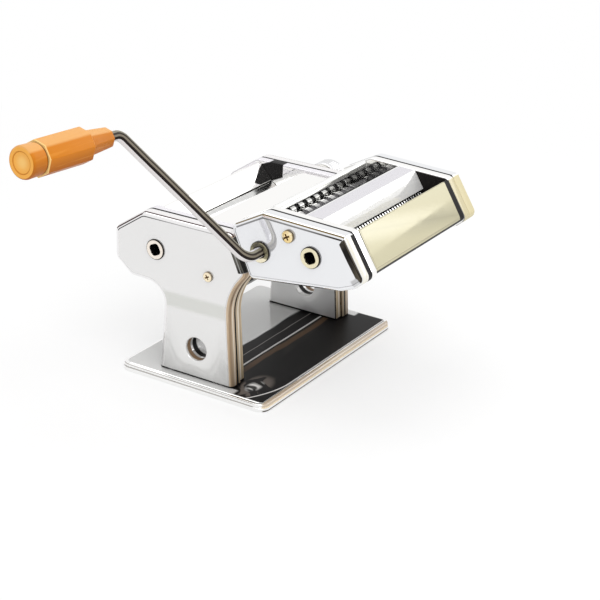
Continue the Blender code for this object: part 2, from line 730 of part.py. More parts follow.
def build_carriers():
    """Sliding plates that carry the front roller and lean on the cams."""
    y, z = FRONT_ROLLER_AXIS
    cam_side = KNOB_AXIS[0] + CAM_RADIUS + FIT
    margin = ROLLER_JOURNAL + 0.0040
    top = KNOB_AXIS[1] + CAM_SHAFT_RADIUS + 0.0005
    section = [
        (cam_side, z - margin), (y + CARRIER_WIDTH / 2, z - margin),
        (y + CARRIER_WIDTH / 2, z + margin), (cam_side + CARRIER_STEP, top), (cam_side, top),
    ]
    for side, word in ((-1, "left"), (1, "right")):
        low = side * CAVITY_IN
        high = side * (CAVITY_IN + CARRIER_THICKNESS)
        name = f"roller_carrier_{word}"
        carrier = place(name, prism(name, section, low, high), STEEL)
        bore = circle(y, z, ROLLER_JOURNAL + FIT, SMALL_SIDES)
        cut(carrier, [bore], low - side * FIT, high + side * FIT)


def cam_outline():
    """A cam that falls steadily from its full radius as the knob turns, then returns."""
    rest = math.radians(10.0)
    dwell = 2 * math.pi - KNOB_TURN
    points = []
    for i in range(ROUND_SIDES):
        angle = 2 * math.pi * i / ROUND_SIDES
        turned_by = 2 * math.pi - angle
        if angle <= rest:
            drop = 0.0
        elif angle < dwell / 2:
            drop = (angle - rest) / (dwell / 2 - rest)
        else:
            drop = min(turned_by / KNOB_TURN, 1.0)
        radius = CAM_RADIUS - ROLLER_OPENING * drop
        points.append((radius * math.cos(angle), radius * math.sin(angle)))
    return points


def build_knob():
    """The cam shaft, the knob on its end with its nub and spring, and the index ring."""
    centre = pivot("knob_axis", (0, *KNOB_AXIS))
    cam = cam_outline()
    shaft = circle(0, 0, CAM_SHAFT_RADIUS)
    cam_low = CAVITY_IN + FIT
    cam_high = CAVITY_IN + CARRIER_THICKNESS - FIT
    ring_face = FACE + FIT + INDEX_PLATE
    knob_back = ring_face + FIT + INDEX_NUB
    spring_length = KNOB_PULL + SPRING_SOLID
    head_low = knob_back + KNOB_WEB + spring_length + 2 * FIT
    head = circle(0, 0, SHAFT_HEAD)
    rings = [at_x(-cam_high - FIT, shaft)]
    for x_low, x_high in ((-cam_high, -cam_low), (cam_low, cam_high)):
        rings += [at_x(x_low, shaft), at_x(x_low, cam), at_x(x_high, cam), at_x(x_high, shaft)]
    rings += [at_x(head_low, shaft), at_x(head_low, head)]
    rings.append(at_x(head_low + SHAFT_HEAD_DEPTH, head))
    place("cam_shaft", loft("cam_shaft", rings), STEEL, centre.location, centre)

    ring = tube("index_ring", FACE + FIT, ring_face, CAM_SHAFT_RADIUS + FIT, KNOB_RADIUS - 0.001)
    ring = place("index_ring", ring, RING_STEEL, centre.location)
    pin_holes = []
    for i in range(KNOB_STEPS):
        angle = INDEX_START + i * KNOB_STEP_ANGLE
        y = KNOB_AXIS[0] + INDEX_CIRCLE * math.cos(angle)
        z = KNOB_AXIS[1] + INDEX_CIRCLE * math.sin(angle)
        pin_holes.append(circle(y, z, INDEX_PIN + 2 * FIT, PIN_SIDES))
    cut(ring, pin_holes, FACE, ring_face + FIT)

    rim = knob_back + KNOB_DEPTH
    cavity = 0.0082
    cap_seat = 0.0120
    cap_low = rim - 0.0020
    profile = [
        (knob_back, CAM_SHAFT_RADIUS + FIT), (knob_back, KNOB_RADIUS - 0.0010),
        (knob_back + 0.0010, KNOB_RADIUS), (rim - 0.0015, KNOB_RADIUS),
        (rim, KNOB_RADIUS - 0.0015), (rim, cap_seat + FIT), (cap_low - FIT, cap_seat + FIT),
        (cap_low - FIT, cavity), (knob_back + KNOB_WEB, cavity),
        (knob_back + KNOB_WEB, CAM_SHAFT_RADIUS + FIT),
    ]
    knob = turned("thickness_knob", profile, closed=True)
    knob = place("thickness_knob", knob, KNOB_GREY, centre.location, centre)
    pin_y = INDEX_CIRCLE * math.cos(INDEX_START)
    pin = circle(pin_y, INDEX_CIRCLE * math.sin(INDEX_START), INDEX_PIN, PIN_SIDES)
    pin = prism("index_pin", pin, ring_face + FIT, knob_back + KNOB_WEB / 2)
    combine([knob], place("index_pin", pin, HIDDEN, centre.location), "UNION")
    profile = [(cap_low, cap_seat), (rim, cap_seat), (rim + 0.0006, cap_seat - 0.0015)]
    place("knob_cap", turned("knob_cap", profile), KNOB_GREY, centre.location, centre)
    build_knob_spring(centre, knob_back + KNOB_WEB + FIT, head_low - FIT)


def build_knob_spring(centre, x_low, x_high):
    """The coil that pulls the knob home against its index ring."""
    radius = CAM_SHAFT_RADIUS + SPRING_CLEAR
    span = x_high - x_low - 2 * SPRING_WIRE
    count = SPRING_TURNS * SPRING_STEPS
    curve = bpy.data.curves.new("knob_spring", "CURVE")
    curve.dimensions = "3D"
    curve.bevel_depth = SPRING_WIRE
    curve.bevel_resolution = 1
    curve.use_fill_caps = True
    spline = curve.splines.new("POLY")
    spline.points.add(count)
    for i in range(count + 1):
        angle = 2 * math.pi * SPRING_TURNS * i / count
        x = x_low + SPRING_WIRE + span * i / count
        spline.points[i].co = (x, radius * math.cos(angle), radius * math.sin(angle), 1.0)
    place("knob_spring", curve, STEEL, centre.location, centre)


def build_head(head):
    """The four head shells, the covers, tie rod, screws, bearing plates and rings."""
    corners = head_corners()
    shank = circle(*HEAD_TIE, SCREW_SHANK + FIT, SMALL_SIDES)
    axes = cutter_axes()
    ring = DRIVE_JOURNAL + BUSH_WALL + FIT
    driven = (axes["wide_rear"], axes["narrow_rear"])
    for side, word in ((-1, "left"), (1, "right")):
        outer = outer_shell(f"head_outer_shell_{word}", corners, side, head)
        holes = [shank]
        if side < 0:
            holes += [circle(*axis, ring) for axis in driven]
        cut(outer, holes, side * (FACE - EDGE_ROUND), side * (FACE + FIT))
        inner = inner_shell(f"head_inner_shell_{word}", corners, side, head)
        plate_name = f"bearing_plate_{word}"
        plate = bearing_plate(plate_name, axes, side, head)
        bores = []
        for axis in axes.values():
            big = side < 0 and axis in driven
            journal = DRIVE_JOURNAL if big else CUTTER_JOURNAL
            bores.append(circle(*axis, journal + FIT, SMALL_SIDES))
        cut(inner, [shank] + bores, side * (INNER_FACE - FIT), side * (INNER_FACE + EDGE_ROUND))
        cut(plate, bores, side * (CAVITY_IN - FIT), side * (CAVITY_IN + 2 * BEARING_PLATE))
        pan_screw(f"head_screw_{word}", HEAD_TIE, side, HEAD_SCREW_HEAD, HEAD_SCREW_HEIGHT, head)
    tie_rod("head_tie_rod", HEAD_TIE, HEAD_TIE_RADIUS, head)
    socket_ring("wide_socket_ring", axes["wide_rear"], RING_HEIGHT, head)
    socket_ring("narrow_socket_ring", axes["narrow_rear"], RING_HEIGHT, head)
    build_head_covers(head)


def bearing_plate(name, axes, side, parent):
    """A plate inside a head casing with a bearing hole for each cutter."""
    margin = DRIVE_JOURNAL + 0.0035
    rear = axes["wide_rear"]
    front = axes["narrow_front"]
    low = min(axis[1] for axis in axes.values()) - margin
    high = max(axis[1] for axis in axes.values()) + margin * 0.7
    section = outline([
        (front[0] - margin, low + 0.004, 0.004), (rear[0] + margin, low, 0.004),
        (rear[0] + margin, high - 0.004, 0.004), (front[0] - margin, high, 0.004),
    ])
    x_low = side * CAVITY_IN
    x_high = side * (CAVITY_IN + BEARING_PLATE)
    return place(name, prism(name, section, x_low, x_high), BRONZE, parent=parent)


def build_head_covers(head):
    """The rear, centre and front covers, with the two cutter slots between them."""
    axes = cutter_axes()
    top = FLOOR + WIDE_HEIGHT + HEAD_TOP_RISE
    level = top - HEAD_COVER_DROP
    back_high = WIDE_HEIGHT + HEAD_BACK_RISE
    behind = HEAD_GAP + 2 * HEAD_GAP
    wide_rear = axes["wide_rear"]
    rear = [
        (wide_rear[0] + 0.0042, wide_rear[1] + CUTTER_RADIUS + SLOT_CLEAR * 0.8),
        (WIDE_Y - HEAD_RIDGE + 0.0040, level),
        (front_y(back_high, behind), FLOOR + back_high - 0.0012),
        (front_y(back_high - 0.0080, behind), FLOOR + back_high - 0.0092),
    ]
    bent_sheet("head_rear_cover", rear, head)
    wide_front = axes["wide_front"]
    narrow_rear = axes["narrow_rear"]
    narrow_front = axes["narrow_front"]
    centre = [
        (wide_front[0] + 0.0030, wide_front[1] + CUTTER_RADIUS + SLOT_CLEAR),
        (HEAD_TIE[0] + HEAD_TIE_RADIUS - 0.0050, level), (narrow_rear[0] + 0.0030, level),
        (narrow_rear[0] + 0.0059, narrow_rear[1] + CUTTER_RADIUS - 0.0006),
    ]
    bent_sheet("head_centre_cover", centre, head)
    inset = COVER_INSET - 0.0004
    nose = WIDE_Y - HEAD_NOSE + inset
    nose_height = FLOOR + WIDE_HEIGHT - HEAD_NOSE_DROP
    front = [
        (narrow_front[0] - 0.0070, narrow_front[1] + CUTTER_RADIUS - 0.0016),
        (WIDE_Y - HEAD_FRONT_TOP + 0.0004, top - 0.0027),
        (nose, nose_height + 0.0010), (nose + 0.0075, nose_height - 0.0050),
    ]
    bent_sheet("head_front_cover", front, head)


def cutter_axes():
    """Where the four cutters turn: (y, z) of each."""
    lean = Vector((-math.cos(CUTTER_TILT), math.sin(CUTTER_TILT))) * CUTTER_SPACING
    axes = {}
    narrow = (WIDE_Y - CUTTER_PITCH, WIDE_HEIGHT + NARROW_RISE)
    for word, y, height in (("wide", WIDE_Y, WIDE_HEIGHT), ("narrow", *narrow)):
        axes[f"{word}_rear"] = (y, FLOOR + height)
        axes[f"{word}_front"] = (y + lean.x, FLOOR + height + lean.y)
    return axes


def cutter_profile(pitch, offset, driven):
    """Discs and grooves along a cutter, with its journals and the crank's socket."""
    root = CUTTER_RADIUS - CUTTER_GROOVE
    disc = pitch / 2 - FIT
    count = int(2 * ROLL_END / pitch)
    first = -pitch * (count - 1) / 2 + offset
    if driven:
        profile = [
            (-SOCKET_MOUTH + SOCKET_DEPTH, CRANK_ROD + FIT), (-SOCKET_MOUTH, CRANK_ROD + FIT),
            (-SOCKET_MOUTH, DRIVE_JOURNAL), (-ROLL_END, DRIVE_JOURNAL),
        ]
    else:
        near_end = -(CAVITY_IN + BEARING_PLATE + FIT)
        profile = [(near_end, CUTTER_JOURNAL), (-ROLL_END, CUTTER_JOURNAL)]
    profile.append((-ROLL_END, root))
    for i in range(count):
        low = first + i * pitch - disc / 2
        high = min(low + disc, ROLL_END - FIT)
        profile += [(low, root), (low, CUTTER_RADIUS), (high, CUTTER_RADIUS), (high, root)]
    gear_end = CAVITY_IN + BEARING_PLATE + 3 * FIT + CUTTER_GEAR_WIDTH
    profile += [(ROLL_END, root), (ROLL_END, CUTTER_JOURNAL), (gear_end, CUTTER_JOURNAL)]
    return profile


def build_cutters(head):
    """Two pairs of cutters whose discs run in each other's grooves, with their gears."""
    gear_low = CAVITY_IN + BEARING_PLATE + 2 * FIT
    pairs = (("wide", WIDE_PITCH, WIDE_SIDES), ("narrow", NARROW_PITCH, NARROW_SIDES))
    axes = cutter_axes()
    toward_front = math.pi - CUTTER_TILT
    half_tooth = math.pi / CUTTER_TEETH
    for word, pitch, sides in pairs:
        for place_word, offset, driven in (("rear", 0.0, True), ("front", pitch / 2, False)):
            axis = axes[f"{word}_{place_word}"]
            centre = pivot(f"{word}_{place_word}_axis", (0, *axis))
            centre.parent = head
            centre.matrix_parent_inverse = Matrix.Translation(head.location).inverted()
            name = f"{word}_cutter_{place_word}"
            roller = turned(name, cutter_profile(pitch, offset, driven), sides)
            place(name, roller, ROLLER_STEEL, centre.location, centre)
            phase = toward_front if driven else toward_front + math.pi + half_tooth
            gear(f"{word}_gear_{place_word}", CUTTER_TEETH, CUTTER_SPACING / 2,
                 CUTTER_JOURNAL + FIT, gear_low, gear_low + CUTTER_GEAR_WIDTH, phase,
                 centre.location, centre)


def on_front(along, out, x):
    """A point on the leaning front: so far up it, and so far out from it."""
    point = FRONT_CORNER + UP_FRONT * along + OUT_FRONT * out
    return (x, point.y, point.z)


def front_prism(name, section, low, high):
    """A bar that runs up the leaning front, from a section of (x, out) points."""
    rings = [[on_front(along, out, x) for x, out in section] for along in (low, high)]
    return loft(name, rings)


def build_rails(head):
    """Rails on the front cover, and the brackets in the head that hang on them."""
    seat = -RAIL_INSET + COVER_SHEET / 2 + FIT
    flange_low = HEAD_GAP + BRACKET_WALL + 0.0010
    flange_high = flange_low + RAIL_PLATE
    low = 0.0010
    length = HEAD_LIFT - LIFT_CLEAR
    stop = low + length + FIT
    outer_half = RAIL_FLANGE / 2 + FIT + BRACKET_WALL
    for side, word in ((-1, "left"), (1, "right")):
        x = side * (COVER_END - outer_half)
        web = RAIL_WEB / 2
        flange = RAIL_FLANGE / 2
        foot = seat + RAIL_FOOT
        section = [
            (x - flange, seat), (x + flange, seat), (x + flange, foot),
            (x + web, foot), (x + web, flange_low), (x + flange, flange_low),
            (x + flange, flange_high), (x - flange, flange_high), (x - flange, flange_low),
            (x - web, flange_low), (x - web, foot), (x - flange, foot),
        ]
        name = f"head_rail_{word}"
        place(name, front_prism(name, section, low, low + length), STEEL)
        near = flange_low - FIT - BRACKET_WALL
        far = flange_high + FIT + BRACKET_WALL
        slot_half = flange + FIT
        mouth = web + FIT
        channel = [
            (x - mouth, near), (x - outer_half, near), (x - outer_half, far),
            (x + outer_half, far), (x + outer_half, near), (x + mouth, near),
            (x + mouth, flange_low - FIT), (x + slot_half, flange_low - FIT),
            (x + slot_half, flange_high + FIT), (x - slot_half, flange_high + FIT),
            (x - slot_half, flange_low - FIT), (x - mouth, flange_low - FIT),
        ]
        name = f"head_bracket_{word}"
        bracket = place(name, front_prism(name, channel, low, stop), STEEL, parent=head)
        block = [
            (x - outer_half, near), (x + outer_half, near), (x + outer_half, far),
            (x - outer_half, far),
        ]
        stop_mesh = front_prism(f"{name}_stop", block, stop - FIT / 3, stop + BRACKET_WALL)
        combine([bracket], place(f"{name}_stop", stop_mesh, HIDDEN), "UNION")


def build_crank(head):
    """The bent crank rod in the wide cutter's socket, its grip and the grip's end cap."""
    axis = cutter_axes()["wide_rear"]
    out = Vector((0.0, math.cos(CRANK_RISE), math.sin(CRANK_RISE)))
    start = Vector((-SOCKET_MOUTH + SOCKET_DEPTH - FIT, 0.0, 0.0))
    low = Vector((-FACE - CRANK_STANDOFF, 0.0, 0.0))
    top = low + out * CRANK_REACH + Vector((-CRANK_FLARE, 0.0, 0.0))
    grip_way = Vector((-math.cos(GRIP_TILT), 0.0, 0.0)) + out * math.sin(GRIP_TILT)
    rod_end = GRIP_START + GRIP_COLLAR + GRIP_BODY - 0.006
    end = top + grip_way * rod_end
    arm_steps = 6
    path = [start]
    path += fillet(start, low, top, CRANK_LOW_BEND, arm_steps)
    path += fillet(low, top, end, CRANK_TOP_BEND, arm_steps)
    path.append(end)
    centre = pivot("crank_axis", (0, *axis))
    centre.parent = head
    centre.matrix_parent_inverse = Matrix.Translation(head.location).inverted()
    curve = bpy.data.curves.new("crank_rod", "CURVE")
    curve.dimensions = "3D"
    curve.bevel_depth = CRANK_ROD
    curve.bevel_resolution = 4
    curve.use_fill_caps = True
    spline = curve.splines.new("POLY")
    spline.points.add(len(path) - 1)
    for i, point in enumerate(path):
        spline.points[i].co = (*point, 1.0)
    place("crank_rod", curve, CHROME, centre.location, centre)

    corner = Vector((0.0, *axis)) + top
    turn = grip_way.to_track_quat("X", "Z")
    bore = (CRANK_ROD + FIT) / math.cos(math.radians(22.5))
    collar_end = GRIP_START + GRIP_COLLAR
    body_end = collar_end + GRIP_BODY
    profile = [
        (GRIP_START, bore), (GRIP_START, GRIP_TIP_RADIUS - 0.0010),
        (GRIP_START + 0.0015, GRIP_TIP_RADIUS), (collar_end, COLLAR_RADIUS),
        (collar_end + 0.0010, GRIP_RADIUS - 0.0012), (collar_end + 0.0025, GRIP_RADIUS),
        (body_end, GRIP_RADIUS), (body_end, bore),
    ]
    grip = turned("crank_grip", profile, 8, closed=True)
    cap_low = body_end + FIT
    cap_high = cap_low + GRIP_CAP
    cap_profile = [
        (cap_low, GRIP_CAP_RADIUS - 0.0004), (cap_high - 0.0022, GRIP_CAP_RADIUS),
        (cap_high - 0.0006, GRIP_CAP_RADIUS - 0.0005), (cap_high, GRIP_CAP_RADIUS - 0.0014),
        (cap_high, GRIP_DISH), (cap_high - 0.0010, GRIP_DISH - 0.0016),
    ]
    cap = turned("grip_end_cap", cap_profile)
    turn = turn @ Quaternion((1.0, 0.0, 0.0), GRIP_TWIST)
    for name, mesh_data in (("crank_grip", grip), ("grip_end_cap", cap)):
        obj = place(name, mesh_data, GRIP_ORANGE, corner)
        obj.rotation_mode = "QUATERNION"
        obj.rotation_quaternion = turn


for old in list(bpy.data.objects):
    bpy.data.objects.remove(old, do_unlink=True)

CHROME = material("chromed_steel", (0.86, 0.86, 0.85), 0.08, 1.0)
STEEL = material("plain_steel", (0.62, 0.62, 0.61), 0.32, 1.0)
ROLLER_STEEL = material("ground_steel", (0.74, 0.74, 0.73), 0.20, 1.0)
RING_STEEL = material("nickel_ring", (0.78, 0.74, 0.66), 0.18, 1.0)
SCREW_STEEL = material("zinc_screw", (0.78, 0.70, 0.52), 0.25, 1.0)
GEAR_STEEL = material("gear_steel", (0.48, 0.48, 0.48), 0.38, 1.0)
BRONZE = material("sintered_bronze", (0.62, 0.45, 0.25), 0.42, 1.0)
RUBBER = material("black_rubber", (0.03, 0.03, 0.03), 0.80, 0.0)
KNOB_GREY = material("satin_aluminium", (0.80, 0.80, 0.81), 0.28, 1.0)
GRIP_ORANGE = material("orange_plastic", (0.82, 0.34, 0.05), 0.28, 0.0)
HIDDEN = material("cutter_body", (1.0, 0.2, 0.2), 0.50, 0.0)

HEAD = pivot("head_slide", tuple(FRONT_CORNER))
build_base()
build_body()
build_rollers()
build_knob()
build_head(HEAD)
build_cutters(HEAD)
build_rails(HEAD)
build_crank(HEAD)
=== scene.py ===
import math

import bmesh
import bpy
import numpy as np
from mathutils import Matrix, Vector
from mathutils.geometry import tessellate_polygon


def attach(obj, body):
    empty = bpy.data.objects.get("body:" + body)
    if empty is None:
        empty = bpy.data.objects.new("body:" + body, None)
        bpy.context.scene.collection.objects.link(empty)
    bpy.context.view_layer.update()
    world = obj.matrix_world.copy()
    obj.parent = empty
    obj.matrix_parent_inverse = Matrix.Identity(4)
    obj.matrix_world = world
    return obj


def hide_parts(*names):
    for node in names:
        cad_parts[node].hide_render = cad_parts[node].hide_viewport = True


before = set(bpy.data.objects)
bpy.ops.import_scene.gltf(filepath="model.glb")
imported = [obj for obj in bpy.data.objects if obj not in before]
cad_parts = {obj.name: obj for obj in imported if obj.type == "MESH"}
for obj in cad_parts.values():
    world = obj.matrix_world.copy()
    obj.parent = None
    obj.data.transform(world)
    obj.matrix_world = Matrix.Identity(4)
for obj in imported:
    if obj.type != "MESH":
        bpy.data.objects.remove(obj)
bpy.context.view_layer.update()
MM = 0.001


# The studio is a white table under an even white sky, with three large soft lamps.
# Metal and background see the same pale surroundings.
class Shade:
    """One socket of a node tree, on which arithmetic adds Math nodes to the same tree."""

    def __init__(self, tree, socket=None):
        self.tree = tree
        self.socket = socket

    def node(self, kind, settings=None, sockets=None, output=0):
        """Add a node, set its settings, fill or link its sockets, and return one output."""
        made = self.tree.nodes.new(kind)
        for word, value in (settings or {}).items():
            setattr(made, word, value)
        for key, value in (sockets or {}).items():
            if isinstance(value, Shade):
                self.tree.links.new(value.socket, made.inputs[key])
            else:
                made.inputs[key].default_value = value
        return Shade(self.tree, made.outputs[output]) if made.outputs else None

    def math(self, operation, first, second):
        return self.node("ShaderNodeMath", {"operation": operation}, {0: first, 1: second})

    def __add__(self, other):
        return self.math("ADD", self, other)

    def __radd__(self, other):
        return self.math("ADD", other, self)

    def __sub__(self, other):
        return self.math("SUBTRACT", self, other)

    def __rsub__(self, other):
        return self.math("SUBTRACT", other, self)

    def __mul__(self, other):
        return self.math("MULTIPLY", self, other)

    def __rmul__(self, other):
        return self.math("MULTIPLY", other, self)

    def __neg__(self):
        return self.math("SUBTRACT", 0.0, self)

    def __abs__(self):
        return self.math("ABSOLUTE", self, 0.0)
    def rise(self, low, high):
        """A mask that goes smoothly from 0 at low to 1 at high."""
        return self.node("ShaderNodeMapRange", {"interpolation_type": "SMOOTHSTEP"},
                         {"Value": self, "From Min": low, "From Max": high})

    def fall(self, low, high):
        """A mask that goes smoothly from 1 at low to 0 at high."""
        return 1.0 - self.rise(low, high)

    def band(self, low, high, soft):
        """A mask that is 1 between low and high and fades over soft outside them."""
        return self.rise(low - soft, low) * self.fall(high, high + soft)

    def blend(self, plain, other):
        """A colour that goes from plain to other as this mask goes from 0 to 1.

        Each of the two is a shade or a screen colour of 0 to 255.
        """
        plain, other = (rgb(*side) if isinstance(side, tuple) else side for side in (plain, other))
        settings = {"data_type": "RGBA", "clamp_factor": True}
        return self.node("ShaderNodeMix", settings, {0: self, 6: plain, 7: other}, 2)


def rgb(red, green, blue):
    """A screen colour of 0 to 255 as linear light."""
    share = np.array([red, green, blue]) / 255
    light = np.where(share <= 0.04045, share / 12.92, ((share + 0.055) / 1.055) ** 2.4)
    return (*light.tolist(), 1.0)


scene = bpy.context.scene
scene.view_settings.view_transform = "Standard"

PHOTO_SIDE = 600
FOCAL_PIXELS = 1647.25
CAMERA_AZIMUTH = math.radians(-58.721)
CAMERA_ELEVATION = math.radians(23.382)
CAMERA_ROLL = math.radians(2.075)
CAMERA_DISTANCE = 1.4792
CAMERA_TARGET = np.array([0.0, -0.0434, 0.0580])

sin_a, cos_a = math.sin(CAMERA_AZIMUTH), math.cos(CAMERA_AZIMUTH)
sin_e, cos_e = math.sin(CAMERA_ELEVATION), math.cos(CAMERA_ELEVATION)
camera_back = np.array([sin_a * cos_e, -cos_a * cos_e, sin_e])
level_right = np.array([cos_a, sin_a, 0.0])
level_up = np.cross(camera_back, level_right)
camera_right = math.cos(CAMERA_ROLL) * level_right + math.sin(CAMERA_ROLL) * level_up
camera_up = np.cross(camera_back, camera_right)
camera = bpy.data.objects.new("camera", bpy.data.cameras.new("camera"))
camera.data.sensor_width = 36.0
camera.data.lens = camera.data.sensor_width * FOCAL_PIXELS / PHOTO_SIDE
camera.matrix_world = Matrix([
    [*row, place] for row, place in zip(
        np.stack([camera_right, camera_up, camera_back], axis=1),
        CAMERA_TARGET + camera_back * CAMERA_DISTANCE)
] + [[0.0, 0.0, 0.0, 1.0]])
scene.collection.objects.link(camera)
scene.camera = camera

SKY_LIGHT = 0.62
world = bpy.data.worlds.new("studio")
world.use_nodes = True
world.node_tree.nodes.clear()
sky = Shade(world.node_tree)
seen = sky.node("ShaderNodeLightPath", output="Is Camera Ray")
mirrored = sky.node("ShaderNodeLightPath", output="Is Glossy Ray")
through = sky.node("ShaderNodeLightPath", output="Is Transmission Ray")
shown = sky.math("MAXIMUM", sky.math("MAXIMUM", seen, mirrored), through)
plain_sky = sky.node("ShaderNodeBackground", None, {"Color": rgb(255, 255, 255), "Strength": 1.0})
soft_sky = sky.node("ShaderNodeBackground", None, {"Color": rgb(255, 255, 255), "Strength": SKY_LIGHT})
mixed = sky.node("ShaderNodeMixShader", None, {0: shown, 1: soft_sky, 2: plain_sky})
sky.node("ShaderNodeOutputWorld", None, {"Surface": mixed})
scene.world = world

for word, place, size, power in (
        ("key", (-0.9, -1.1, 1.6), 1.4, 16.0),
        ("fill", (1.4, -0.9, 1.1), 1.2, 7.0),
        ("top", (0.1, 0.5, 1.9), 1.6, 9.0)):
    lamp = bpy.data.lights.new(word, "AREA")
    lamp.size = size
    lamp.energy = power
    holder = bpy.data.objects.new(word, lamp)
    holder.location = place
    holder.rotation_mode = "QUATERNION"
    holder.rotation_quaternion = Vector(place).to_track_quat("Z", "Y")
    scene.collection.objects.link(holder)

TABLE_REACH = 3.0
table_mesh = bpy.data.meshes.new("table_top")
around = np.linspace(0, 2 * math.pi, 64, endpoint=False)
rim = np.stack([TABLE_REACH * np.cos(around), TABLE_REACH * np.sin(around), 0 * around], axis=1)
table_mesh.from_pydata(rim.tolist(), [], [list(range(64))])
table = bpy.data.objects.new("table_top", table_mesh)
scene.collection.objects.link(table)
table_white = bpy.data.materials.new("table_white")
table_white.use_nodes = True
table_white.node_tree.nodes.clear()
cloth = Shade(table_white.node_tree)
spot = cloth.node("ShaderNodeTexCoord", output="Object")
reach = cloth.node("ShaderNodeVectorMath", {"operation": "LENGTH"}, {0: spot}, "Value")
matt = cloth.node("ShaderNodeBsdfDiffuse", None, {"Color": rgb(250, 250, 250)})
glow = cloth.node("ShaderNodeEmission", None, {"Color": rgb(255, 255, 255), "Strength": 1.0})
fade = 0.55 + 0.45 * reach.rise(0.30, 0.8)
top = cloth.node("ShaderNodeMixShader", None, {0: fade, 1: matt, 2: glow})
cloth.node("ShaderNodeOutputMaterial", None, {"Surface": top})
table_mesh.materials.append(table_white)


# The base is a tray pressed from chromed steel sheet, with a double bead rolled round its rim.
# It is open below.
def unit(rows):
    """Rows scaled to a length of one."""
    return rows / np.maximum(np.linalg.norm(rows, axis=-1, keepdims=True), 1e-12)


def rounded(corners, inset=0.0, steps=8, closed=True):
    """Points and outward normals of a polygon with arcs at its corners.

    corners are rows of (u, v, radius), anticlockwise. Each side moves inwards by inset. A corner's
    arc has its centre radius / cos(half turn) from the corner along the bisector, and its normal
    turns evenly from the normal of one side to that of the next. An open path keeps its two ends.
    """
    rows = np.asarray(corners, dtype=float)
    place, radius = rows[:, :2], rows[:, 2]
    before = unit(place - np.roll(place, 1, axis=0))
    after = unit(np.roll(place, -1, axis=0) - place)
    if not closed:
        before[0] = after[0]
        after[-1] = before[-1]
    turn = np.arctan2(before[:, 0] * after[:, 1] - before[:, 1] * after[:, 0],
                      (before * after).sum(axis=1))
    start = np.arctan2(-before[:, 0], before[:, 1])
    middle = start + turn / 2
    out = np.stack([np.cos(middle), np.sin(middle)], axis=1)
    stretch = 1 / np.cos(turn / 2)[:, None]
    side = np.where(turn >= 0, 1.0, -1.0)[:, None]
    bend = np.maximum(radius[:, None] - side * inset, 0.02 * MM)
    centre = place - out * inset * stretch - side * out * bend * stretch
    share = np.linspace(0, 1, steps + 1)[None, :]
    angle = start[:, None] + turn[:, None] * share
    normals = np.stack([np.cos(angle), np.sin(angle)], axis=2)
    points = centre[:, None, :] + side[:, None, :] * bend[:, None, :] * normals
    return points.reshape(-1, 2), normals.reshape(-1, 2)


def skin(grid, closed=False, **marks):
    """Quads over a grid of points (rows, columns, 3).

    Each row is a ring, and closed joins the last row to the first.
    """
    rows, columns = grid.shape[:2]
    low, left = np.meshgrid(np.arange(rows if closed else rows - 1), np.arange(columns),
                            indexing="ij")
    high, right = (low + 1) % rows, (left + 1) % columns
    quads = np.stack([low * columns + left, low * columns + right,
                      high * columns + right, high * columns + left], axis=-1)
    flat = {word: np.broadcast_to(value, (rows, columns)).ravel() for word, value in marks.items()}
    return grid.reshape(-1, 3), quads.reshape(-1, 4).tolist(), flat


def plate(loops, **marks):
    """A flat patch of triangles inside the first loop of points and outside the others."""
    points = np.concatenate(loops)
    faces = tessellate_polygon([[Vector(point) for point in loop] for loop in loops])
    flat = {word: np.full(len(points), value, dtype=float) for word, value in marks.items()}
    return points, [list(face) for face in faces], flat


def capped(grid, **marks):
    """A tube over a grid's rings, with a flat patch over its first ring and its last."""
    return [skin(grid, **marks), plate([grid[0]]), plate([grid[-1]])]


def piece(name, patches, finish, body, nodes, sharp=32.0):
    """Join patches into one closed, smooth object that rides on a body and stands for its nodes."""
    points, faces, start = [], [], 0
    words = sorted({word for patch in patches for word in patch[2]})
    values = {word: [] for word in words}
    for place, polygons, flat in patches:
        points.append(place)
        faces += [[start + corner for corner in polygon] for polygon in polygons]
        for word in words:
            values[word].append(flat.get(word, np.zeros(len(place))))
        start += len(place)
    mesh = bpy.data.meshes.new(name)
    mesh.from_pydata(np.concatenate(points).tolist(), [], faces)
    for word in words:
        mesh.attributes.new(word, "FLOAT", "POINT").data.foreach_set(
            "value", np.concatenate(values[word]).astype(np.float32))
    bm = bmesh.new()
    bm.from_mesh(mesh)
    bmesh.ops.remove_doubles(bm, verts=bm.verts, dist=0.004 * MM)
    bmesh.ops.dissolve_degenerate(bm, edges=bm.edges, dist=0.002 * MM)
    bmesh.ops.recalc_face_normals(bm, faces=bm.faces)
    bm.to_mesh(mesh)
    bm.free()
    mesh.shade_smooth()
    mesh.set_sharp_from_angle(angle=math.radians(sharp))
    mesh.materials.append(finish)
    made = bpy.data.objects.new(name, mesh)
    scene.collection.objects.link(made)
    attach(made, body)
    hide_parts(*nodes)
    return made


def coating(name, **uniform):
    """A Principled material, its node tree as a Shade, and a call that feeds one of its sockets."""
    made = bpy.data.materials.new(name)
    made.use_nodes = True
    shader = made.node_tree.nodes["Principled BSDF"]
    for word, value in uniform.items():
        shader.inputs[word.replace("_", " ")].default_value = value
    shade = Shade(made.node_tree)

    def feed(socket, value):
        shade.tree.links.new(value.socket, shader.inputs[socket])

    return made, shade, feed


def dimpled(shade, feed, point, scale, height):
    """Give the surface the faint waves, so many millimetres high, that pressing leaves."""
    waves = shade.node("ShaderNodeTexNoise", None,
                       {"Vector": point, "Scale": scale, "Detail": 1.0, "Roughness": 0.4})
    bump = shade.node("ShaderNodeBump", None,
                      {"Height": waves * (height * MM), "Distance": 1.0, "Strength": 1.0})
    feed("Normal", bump)


